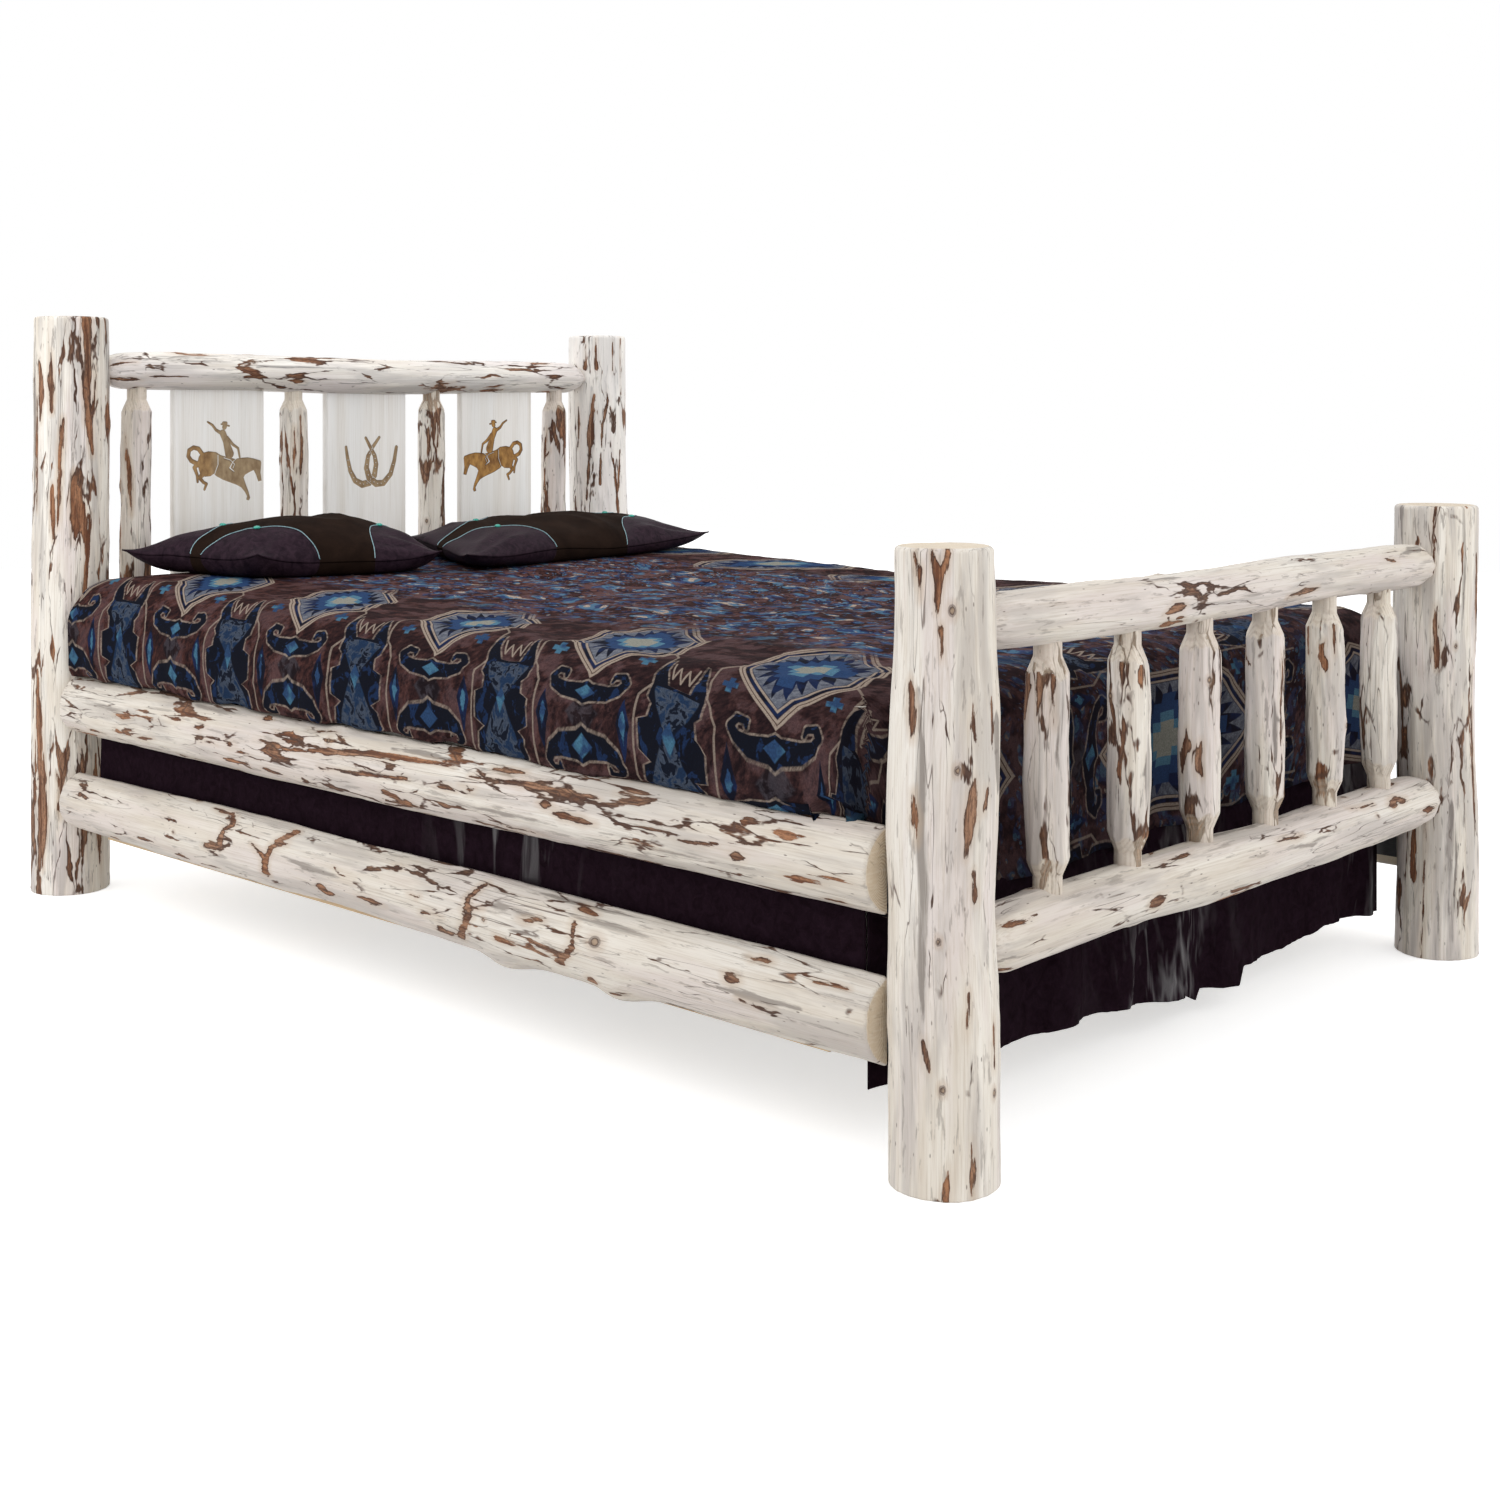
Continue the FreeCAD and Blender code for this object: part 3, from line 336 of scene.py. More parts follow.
def pin_knots(length, margin, count):
    """Seeded small knots: their places along the log, turns round it and radii."""
    return [(random_logs.uniform(margin, length - margin), random_logs.uniform(0, 2 * math.pi),
             random_logs.uniform(0.003, 0.005)) for _ in range(count)]


def placed_marks(table):
    """Marks from a table of paths whose half widths are in millimetres."""
    return [(path, [width / 1000 for width in widths]) for path, widths in table]


def bark_distance(along, angle, radius, marks):
    """How far each point lies outside the nearest mark, in metres."""
    nearest = np.full(along.shape, far_from_bark)
    for path, widths in marks:
        for (low, low_turn), (high, high_turn), low_wide, high_wide in zip(
                path, path[1:], widths, widths[1:]):
            reach = max(low_wide, high_wide) + 0.02
            rows = (along[:, 0] > min(low, high) - reach) & (along[:, 0] < max(low, high) + reach)
            if not rows.any():
                continue
            arc = ((angle[rows] - low_turn + math.pi) % (2 * math.pi) - math.pi) * radius
            run, sweep = high - low, (high_turn - low_turn) * radius
            part = along[rows] - low
            share = np.clip((part * run + arc * sweep) / (run * run + sweep * sweep + 1e-9), 0, 1)
            gap = np.hypot((part - share * run) * 0.6, arc - share * sweep)
            nearest[rows] = np.minimum(nearest[rows], gap - low_wide - (high_wide - low_wide) * share)
    return nearest


def knot_distance(along, angle, radius, knots):
    """How far each point lies from the nearest knot, in knot radii."""
    nearest = np.full(along.shape, far_from_knot)
    for middle, turn, size in knots:
        arc = (angle - turn + math.pi) % (2 * math.pi) - math.pi
        nearest = np.minimum(nearest, np.hypot((along - middle) / 1.5, arc * radius) / size)
    return nearest


def skin(along, angle, radius, seed, marks, knots, facets, knife=1.0):
    """Height of a hand-peeled log's skin over its round core, with its bark and knot values."""
    spot = np.stack([np.cos(angle) * 2 + seed, np.sin(angle) * 2, along * 5], -1)
    lumps = 0.0016 * noise(spot, 2)
    drift = 0.9 * noise(np.stack([along * 2.2 + seed, along * 0, along * 0], -1), 2)
    width = 2 * math.pi / facets
    phase = (angle + drift + 0.25 * noise(spot * 1.6 + 20)) % width - width / 2
    strength = 0.55 + 0.45 * noise(
        np.stack([np.cos(angle) * 1.5, np.sin(angle) * 1.5 + seed, along * 7], -1))
    flats = radius * (phase * phase - width * width / 12) / 2 * strength * 1.5
    ripple = 0.00035 * noise(np.stack([angle * radius * 130, along * 22 + seed, angle * 0], -1), 2)
    bark = bark_distance(along, angle, radius, marks)
    bark = bark + 0.0016 * noise(np.stack([angle * radius * 160, along * 45 + seed, angle * 0], -1), 2)
    hollow = -0.0011 * (1 - smooth_step(bark, -0.003, 0.001))
    knot = knot_distance(along, angle, radius, knots)
    bump = 0.0026 * np.exp(-(knot / 2.4) ** 2) - 0.0014 * np.exp(-(knot / 0.7) ** 2)
    return lumps + knife * (flats + ripple) + hollow + bump, bark, knot


def place_axis(axis, along, side, lift):
    """Points of a log that runs along X, Y or Z, from its two offsets across."""
    return np.stack({"x": (along, side, lift), "y": (side, along, lift), "z": (side, lift, along)}[axis], -1)


def log_stations(length, rounds):
    """Distances along a log, close together where its ends are rounded."""
    count = max(int(length / log_step_along), 4)
    low_round, high_round = rounds
    stations = list(np.linspace(low_round, length - high_round, count))
    if low_round:
        angles = np.linspace(0, math.pi / 2, 6)[:-1]
        stations = [low_round * (1 - math.sin(angle)) for angle in angles[::-1]][:-1] + stations
    if high_round:
        angles = np.linspace(0, math.pi / 2, 6)[1:]
        stations = stations + [length - high_round * (1 - math.sin(angle)) for angle in angles]
    return np.unique(np.round(stations, 6))


def end_inset(along, length, rounds):
    """How far the rounding of the ends draws the skin in."""
    inset = np.zeros_like(along)
    low_round, high_round = rounds
    if low_round:
        into = np.clip(1 - along / low_round, 0, 1)
        inset += low_round * (1 - np.sqrt(1 - into * into))
    if high_round:
        into = np.clip(1 - (length - along) / high_round, 0, 1)
        inset += high_round * (1 - np.sqrt(1 - into * into))
    return inset


def share_for(name, table):
    """Number that a table of first words has for a piece, or 0."""
    return next((share for word, share in table.items() if name.startswith(word)), 0)


def finish_log(made, grain, grain_ends, bark, knot, cut, stain, tint=0.0):
    """Stores what the log's material reads at each point, the middles of both ends last."""
    set_values(made, "grain", np.concatenate([grain.reshape(-1, 3), grain_ends]))
    tint += share_for(made.name, log_tones_and_painted_light)
    vein = share_for(made.name, vein_shares)
    looks = (("bark", bark, far_from_bark), ("knot", knot, far_from_knot), ("cut", cut, 1),
             ("stain", stain, far_from_bark), ("tint", 0 * bark + tint, tint),
             ("vein", 0 * bark + vein, vein))
    for word, values, at_ends in looks:
        set_values(made, word, np.append(values.ravel(), [at_ends, at_ends]))
    return made


def make_log(name, axis, start, stop, side, lift, radius, girths, sway_share, turn, seed, marks, knots,
             stains, facets, rounds=(0, 0), scribe=None):
    """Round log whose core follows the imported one; scribe gives how far its skin is trimmed at an end."""
    length = stop - start
    stations = log_stations(length, rounds)
    around = max(int(2 * math.pi * radius / log_step_around), 24)
    angles = np.linspace(0, 2 * math.pi, around, endpoint=False)
    along, angle = np.meshgrid(stations, angles, indexing="ij")
    share = along / length
    height, bark, knot = skin(along, angle, radius, seed, marks, knots, facets)
    stain = bark_distance(along, angle, radius, stains)
    if scribe:
        reach = radius * girth_at(share, girths) + height
        low_trim = scribe(-1, reach * np.cos(angle), reach * np.sin(angle))
        high_trim = scribe(1, reach * np.cos(angle), reach * np.sin(angle))
        along = low_trim + (length - low_trim - high_trim) * share
        share = along / length
    reach = radius * girth_at(share, girths) + height - end_inset(along, length, rounds)
    if scribe:
        past_trim = np.minimum(along - low_trim, length - high_trim - along)
        shoulder = np.clip(1 - past_trim / rail_end_round, 0, 1)
        reach -= rail_end_drop * radius * (1 - np.sqrt(1 - shoulder * shoulder))
    sway = radius * sway_share * np.sin(math.pi * share)
    sway_angle = turn + 2 * math.pi * share
    points = place_axis(axis, start + along, side + sway * np.cos(sway_angle) + reach * np.cos(angle),
                        lift + sway * np.sin(sway_angle) + reach * np.sin(angle))
    grain = np.stack([reach * np.cos(angle) + seed, reach * np.sin(angle), along], -1)
    cut = np.zeros(points.shape[:2])
    if scribe:
        cut = 0.8 * smooth_step(shoulder, 0.75, 0.95)
    else:
        cut[0], cut[-1] = 1, 1
    return finish_log(closed_tube(name, points, flat_ends=True), grain,
                      [[seed, 0, grain[0, 0, 2]], [seed, 0, grain[-1, 0, 2]]], bark, knot, cut, stain)


def make_posts():
    """The four posts, with patches of bark and pin knots."""
    made = []
    for number, (name, (side, end, radius, girths, turn)) in enumerate(posts.items()):
        low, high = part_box(name)
        length = high.z - low.z
        if name == "foot_post_left":
            away = bark_marks(length, radius, 30, (0.02, 0.06), (0.0015, 0.005))
            marks = placed_marks(near_post_bark) + [mark for mark in away if hidden_turn(mark)]
            knots, stains = list(near_post_knots), placed_marks(near_post_stains)
        else:
            marks = bark_marks(length, radius, post_bark_counts[name], (0.025, 0.16), (0.0025, 0.0095))
            knots = pin_knots(length, 0.1, 7)
            stains = bark_marks(length, radius, 7, (0.06, 0.18), (0.004, 0.012))
            if name == "head_post_left":
                marks += placed_marks(head_post_bark)
                stains += placed_marks(head_post_stains)
            if name == "head_post_right":
                marks = placed_marks(far_post_bark) + [mark for mark in marks if hidden_turn(mark)]
        made.append((name, make_log(
            name + "_log", "z", low.z, high.z, side * post_x, end * post_y, radius, girths,
            post_sway_share, turn, 3.0 + 5 * number, marks, knots, stains, 16,
            rounds=(post_foot_round, post_top_round))))
    return made


def hidden_turn(mark):
    """Whether a mark lies on the side of a post that the photograph doesn't show."""
    low, high = hidden_turns
    return low < (mark[0][0][1] + math.pi) % (2 * math.pi) - math.pi < high


def post_scribe(end, height):
    """Trim of a cross rail's skin where it meets the round posts, measured from the posts' middles."""
    def trim(side, across, lift):
        name = next(key for key, post in posts.items() if post[0] == side and post[1] == end)
        _, _, radius, girths, turn = posts[name]
        low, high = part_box(name)
        share = np.clip((height + lift - low.z) / (high.z - low.z), 0, 1)
        sway = radius * post_sway_share * np.sin(math.pi * share)
        middle_x = sway * np.cos(turn + 2 * math.pi * share)
        middle_y = sway * np.sin(turn + 2 * math.pi * share)
        reach = radius * girth_at(share, girths)
        offset = np.clip(across - middle_y, -reach, reach)
        return np.sqrt(reach * reach - offset * offset) - side * middle_x - rail_into_post
    return trim


def make_cross_rails():
    """Rails between the posts, scribed to them."""
    made = []
    for number, (name, (end, height, radius, girths, turn)) in enumerate(cross_rails.items()):
        length = 2 * post_x
        marks = bark_marks(length, radius, 30, (0.010, 0.06), (0.0020, 0.0080))
        stains = bark_marks(length, radius, 18, (0.04, 0.16), (0.002, 0.007))
        knots = pin_knots(length, 0.15, 6)
        made.append((name, make_log(
            name + "_log", "x", -post_x, post_x, end * post_y, height, radius, girths,
            rail_sway_share, turn, 27.0 + 5 * number, marks, knots, stains, 12,
            scribe=post_scribe(end, height))))
    return made


def make_spindle(name, end, low_face, high_face, across, radius, number, seed):
    """Spindle between two rails, with knife-cut shoulders down to its round tenons."""
    start, stop = low_face - spindle_into_rail, high_face + spindle_into_rail
    length = stop - start
    neck = spindle_into_rail + spindle_neck_show
    fine = np.linspace(0, neck + 2 * spindle_shoulder, 36)
    stations = np.concatenate([fine[:-1], np.linspace(fine[-1], length - fine[-1], int(length / 0.0045)),
                               length - fine[-2::-1]])
    along, angle = np.meshgrid(stations, np.linspace(0, 2 * math.pi, spindle_around, endpoint=False),
                               indexing="ij")
    marks = bark_marks(length, radius, 6, (0.012, 0.09), (0.002, 0.0075))
    stains = bark_marks(length, radius, 3, (0.05, 0.12), (0.003, 0.009))
    knots = [(random_logs.uniform(0.1, length - 0.1), random_logs.uniform(0, 2 * math.pi), 0.0035)
             for _ in range(2)]
    height, bark, knot = skin(along, angle, radius, seed, marks, knots, 10, 1.2)
    body = length - 2 * (neck + spindle_shoulder)
    share = np.clip((along - neck - spindle_shoulder) / body, 0, 1)
    full = radius * girth_at(share, spindle_girth_shares) + height
    low_half = along < length / 2
    from_end = np.where(low_half, along, length - along)
    width = 2 * math.pi / spindle_cuts
    wobble = 0.35 * noise(np.stack([np.cos(angle) * 1.2 + seed, np.sin(angle) * 1.2, low_half * 9.0], -1))
    phase = (angle + wobble + seed) % width - width / 2
    rise = np.clip((from_end - neck) / spindle_shoulder, 0, None)
    cone = (spindle_neck_radius + (radius - spindle_neck_radius) * rise) * (1 + 0.20 * wobble)
    cone = cone * np.where(rise > 0, math.cos(width / 2) / np.cos(phase) + 0.03, 1)
    cone = np.maximum(cone, spindle_neck_radius + 0.15 * height)
    hewn_depth = full - cone
    reach = np.minimum(full, cone)
    sway = radius * spindle_sway_share * np.sin(math.pi * share)
    turn = number * spindle_turn_step
    points = np.stack([across + sway * math.cos(turn) + reach * np.cos(angle),
                       end * post_y + sway * math.sin(turn) + reach * np.sin(angle), start + along], -1)
    grain = np.stack([reach * np.cos(angle) + seed, reach * np.sin(angle), along], -1)
    hewn = spindle_hewn_shade * smooth_step(hewn_depth, 0, 0.0012)
    bark = bark + 0.03 * (hewn_depth > 0.0008)
    stain = bark_distance(along, angle, radius, stains)
    return finish_log(closed_tube(name, points), grain, [[seed, 0, 0], [seed, 0, length]], bark, knot, hewn,
                      stain, random_logs.uniform(-0.3, 0.3))


def make_spindles():
    """Both rows of spindles."""
    made = []
    for word, (end, low_face, high_face, count, pitch, radius) in spindle_rows.items():
        for number in range(1, count + 1):
            across = (number - 1 - (count - 1) / 2) * pitch
            node = f"{word}_spindle_{number}"
            made.append((node, make_spindle(node + "_log", end, low_face, high_face, across, radius,
                                            number, 50.0 + 3 * number + 20 * end)))
    return made


def make_side_rail(name, side, level, seed, marks, knots, stains):
    """Half log: peeled round outside, sawn flat inside."""
    height_z, girths, turn = side_rails[level]
    length = side_high_y - side_low_y
    rounds = (side_end_round, side_end_round)
    stations = log_stations(length, rounds)
    half_angle = math.acos((side_flat_x - side_log_x) / side_log_radius)
    round_count = int(2 * half_angle * side_log_radius / log_step_around)
    angles = np.linspace(-half_angle, half_angle, round_count)
    along, angle = np.meshgrid(stations, angles, indexing="ij")
    share = along / length
    skin_height, bark, knot = skin(along, angle, side_log_radius, seed, marks, knots, 17)
    swell = np.zeros_like(along)
    if level == "lower":
        for place in knob_places:
            gap = (along + side_low_y - place) / 0.045
            swell += knob_swell * np.exp(-gap * gap - ((angle + 1.15) / 0.60) ** 2)
    else:
        place, lean, spread, rise = upper_rail_hump
        swell += rise * np.exp(-((along + side_low_y - place) / spread) ** 2 - ((angle - lean) / 0.5) ** 2)
    reach = side_log_radius * girth_at(share, girths) + skin_height + swell
    reach = reach - end_inset(along, length, rounds)
    sway = side_log_radius * side_sway_share * np.sin(math.pi * share)
    sway_angle = turn + 2 * math.pi * share
    across = side_log_x + reach * np.cos(angle) + side * sway * np.cos(sway_angle)
    lift = height_z + sway * np.sin(sway_angle) + reach * np.sin(angle)
    across = np.maximum(across, side_flat_x)
    round_points = np.stack([side * across, side_low_y + along, lift], -1)
    flat_share = np.linspace(0, 1, side_flat_count + 2)[1:-1][None, :, None]
    top, bottom = round_points[:, -1:], round_points[:, :1]
    flat_points = top + (bottom - top) * flat_share
    flat_points[..., 0] = side * side_flat_x
    points = np.concatenate([round_points, flat_points], 1)
    grain = points - (side * side_log_x, 0, height_z)
    grain = np.stack([grain[..., 0] + seed, grain[..., 2], grain[..., 1]], -1)
    flat = np.zeros(points.shape[:2])
    flat[:, round_count:] = 1
    flat[0], flat[-1] = 1, 1
    stain = bark_distance(along, angle, side_log_radius, stains)
    to_flat = ((0, 0), (0, side_flat_count))
    bark, stain = (np.pad(values, to_flat, constant_values=far_from_bark) for values in (bark, stain))
    knot = np.pad(knot, to_flat, constant_values=far_from_knot)
    return finish_log(closed_tube(name, points, flat_ends=True, flip=side > 0), grain,
                      [[seed, 0, side_low_y], [seed, 0, side_high_y]], bark, knot, flat, stain)


def turned_out(marks):
    """Marks of a whole log, drawn together on the round face of a half log."""
    return [([(place, turn * 0.5 - math.pi / 2) for place, turn in path], widths) for path, widths in marks]


def make_side_rails():
    """Two half logs on each side."""
    made = []
    length = side_high_y - side_low_y
    for side, word in ((-1, "left"), (1, "right")):
        for number, level in enumerate(side_rails):
            count, placed, shown = {"upper": (70, upper_rail_bark, upper_rail_knots),
                                    "lower": (36, lower_rail_bark, lower_rail_knots)}[level]
            marks = turned_out(bark_marks(length, side_log_radius, count, (0.010, 0.050), (0.0015, 0.0070)))
            marks += [([(place - side_low_y, turn) for place, turn in path], widths)
                      for path, widths in placed_marks(placed)]
            knots = [(place - side_low_y, turn, size) for place, turn, size in shown]
            stains = turned_out(bark_marks(length, side_log_radius, 14, (0.04, 0.16), (0.002, 0.007)))
            node = f"side_rail_{level}_{word}"
            made.append((node, make_side_rail(node + "_log", side, level, 80.0 + 7 * number + 20 * side,
                                              marks, knots, stains)))
    return made


class Field:
    """A number in a material, which sums, products and the like turn into nodes."""

    def __init__(self, tree, socket):
        self.tree = tree
        self.socket = socket

    def node(self, kind, *values, clamp=False):
        """Result of one sum or function of fields and numbers."""
        made = self.tree.nodes.new("ShaderNodeMath")
        made.operation = kind
        made.use_clamp = clamp
        for number, value in enumerate(values):
            if isinstance(value, Field):
                self.tree.links.new(value.socket, made.inputs[number])
            else:
                made.inputs[number].default_value = value
        return Field(self.tree, made.outputs[0])

    def __add__(self, other):
        return self.node("ADD", self, other)

    def __sub__(self, other):
        return self.node("SUBTRACT", self, other)

    def __mul__(self, other):
        return self.node("MULTIPLY", self, other)

    def __truediv__(self, other):
        return self.node("DIVIDE", self, other)

    def __abs__(self):
        return self.node("ABSOLUTE", self)

    def low(self, other):
        return self.node("MINIMUM", self, other)

    def high(self, other):
        return self.node("MAXIMUM", self, other)

    def power(self, other):
        return self.node("POWER", self, other)

    def floor(self):
        return self.node("FLOOR", self)

    def wrap(self, size):
        """Distance from the nearest whole multiple of size."""
        return self - self.node("MULTIPLY", self.node("ROUND", self / size), size)

    def sine(self):
        return self.node("SINE", self)

    def profile(self, stops):
        """Number that runs in straight lines between stops of place and size."""
        total = stops[0][1]
        for (low, size), (high, following) in zip(stops, stops[1:]):
            total = self.above((low + high) / 2, high - low) * (following - size) + total
        return total

    def lozenge(self, other, half):
        """Signed distance to a lozenge from its two half widths, of which this number is along the first."""
        wide, tall = half
        return (abs(self) * (tall / wide) + abs(other) - tall) * (wide / math.hypot(wide, tall))

    def below(self, edge, soft):
        """1 where this number is under the edge, 0 above it, over a soft width."""
        return self.node("MULTIPLY_ADD", self, -1.0 / soft, 0.5 + edge / soft, clamp=True)

    def above(self, edge, soft):
        """1 where this number is over the edge, 0 under it, over a soft width."""
        return self.node("MULTIPLY_ADD", self, 1.0 / soft, 0.5 - edge / soft, clamp=True)


class Shade:
    """Builds one material's nodes."""

    def __init__(self, name):
        self.material = bpy.data.materials.new(name)
        self.material.use_nodes = True
        self.tree = self.material.node_tree
        self.surface = self.tree.nodes["Principled BSDF"]

    def add(self, kind, **settings):
        """New node with its settings."""
        made = self.tree.nodes.new(kind)
        for key, value in settings.items():
            setattr(made, key, value)
        return made

    def link(self, source, target):
        """Feeds an input from a field, a socket, a colour or a number."""
        if isinstance(source, Field):
            source = source.socket
        if isinstance(source, bpy.types.NodeSocket):
            self.tree.links.new(source, target)
        else:
            target.default_value = (*source, 1) if isinstance(source, tuple) else source

    def value(self, name):
        made = self.add("ShaderNodeAttribute", attribute_name=name)
        return Field(self.tree, made.outputs["Fac"])

    def vector(self, name):
        return self.add("ShaderNodeAttribute", attribute_name=name).outputs["Vector"]

    def place(self):
        return self.add("ShaderNodeNewGeometry").outputs["Position"]

    def parts(self, vector):
        made = self.add("ShaderNodeSeparateXYZ")
        self.link(vector, made.inputs[0])
        return [Field(self.tree, output) for output in made.outputs]

    def join(self, *values):
        made = self.add("ShaderNodeCombineXYZ")
        for value, target in zip(values, made.inputs):
            self.link(value, target)
        return made.outputs[0]

    def texture(self, kind, vector, scale, stretch, **settings):
        """Texture node that reads a vector stretched by a scale for each direction."""
        mapped = self.add("ShaderNodeMapping")
        self.link(vector, mapped.inputs["Vector"])
        mapped.inputs["Scale"].default_value = [scale * part for part in stretch]
        made = self.add(kind, **settings)
        self.link(mapped.outputs[0], made.inputs["Vector"])
        made.inputs["Scale"].default_value = 1.0
        return made

    def noise(self, vector, scale, stretch, detail, rough, bend=0.0):
        """Cloudy number of 0 to 1."""
        made = self.texture("ShaderNodeTexNoise", vector, scale, stretch, noise_dimensions="3D")
        for key, value in (("Detail", detail), ("Roughness", rough), ("Distortion", bend)):
            made.inputs[key].default_value = value
        return Field(self.tree, made.outputs["Fac"])

    def cells(self, vector, scale, stretch=(1, 1, 1), feature="F1"):
        """Distance in a pattern of scattered cells."""
        made = self.texture("ShaderNodeTexVoronoi", vector, scale, stretch, feature=feature)
        return Field(self.tree, made.outputs["Distance"])

    def mix(self, share, low, high):
        """Colour between two colours, each a triple or a socket."""
        made = self.add("ShaderNodeMix", data_type="RGBA")
        for number, source in ((0, share), (6, low), (7, high)):
            self.link(source, made.inputs[number])
        return made.outputs[2]

    def stroke(self, x, y, path, widths):
        """Signed distance to a line whose half width changes from point to point."""
        place, nearest = self.join(x, y, 0.0), None
        for start, stop, low, high in zip(path, path[1:], widths, widths[1:]):
            run = (stop[0] - start[0], stop[1] - start[1])
            square = run[0] ** 2 + run[1] ** 2
            away = self.add("ShaderNodeVectorMath", operation="SUBTRACT")
            self.link(place, away.inputs[0])
            away.inputs[1].default_value = (*start, 0)
            part = self.add("ShaderNodeVectorMath", operation="DOT_PRODUCT")
            self.link(away.outputs[0], part.inputs[0])
            part.inputs[1].default_value = (run[0] / square, run[1] / square, 0)
            share = Field(self.tree, part.outputs["Value"]).high(0.0).low(1.0)
            reach = self.add("ShaderNodeVectorMath", operation="SCALE")
            reach.inputs[0].default_value = (*run, 0)
            self.link(share, reach.inputs["Scale"])
            gap = self.add("ShaderNodeVectorMath", operation="DISTANCE")
            self.link(away.outputs[0], gap.inputs[0])
            self.link(reach.outputs[0], gap.inputs[1])
            gap = Field(self.tree, gap.outputs["Value"]) - low + share * (low - high)
            nearest = gap if nearest is None else nearest.low(gap)
        return nearest

    def finish(self, colour, rough, height, depth, strength, **settings):
        """Connects the colour, the roughness and the bump, and sets the shader's own numbers."""
        self.link(colour, self.surface.inputs["Base Color"])
        self.link(rough, self.surface.inputs["Roughness"])
        bump = self.add("ShaderNodeBump")
        bump.inputs["Distance"].default_value = depth
        bump.inputs["Strength"].default_value = strength
        self.link(height, bump.inputs["Height"])
        self.link(bump.outputs[0], self.surface.inputs["Normal"])
        for key, value in settings.items():
            self.surface.inputs[key.replace("_", " ")].default_value = value
        return self.material


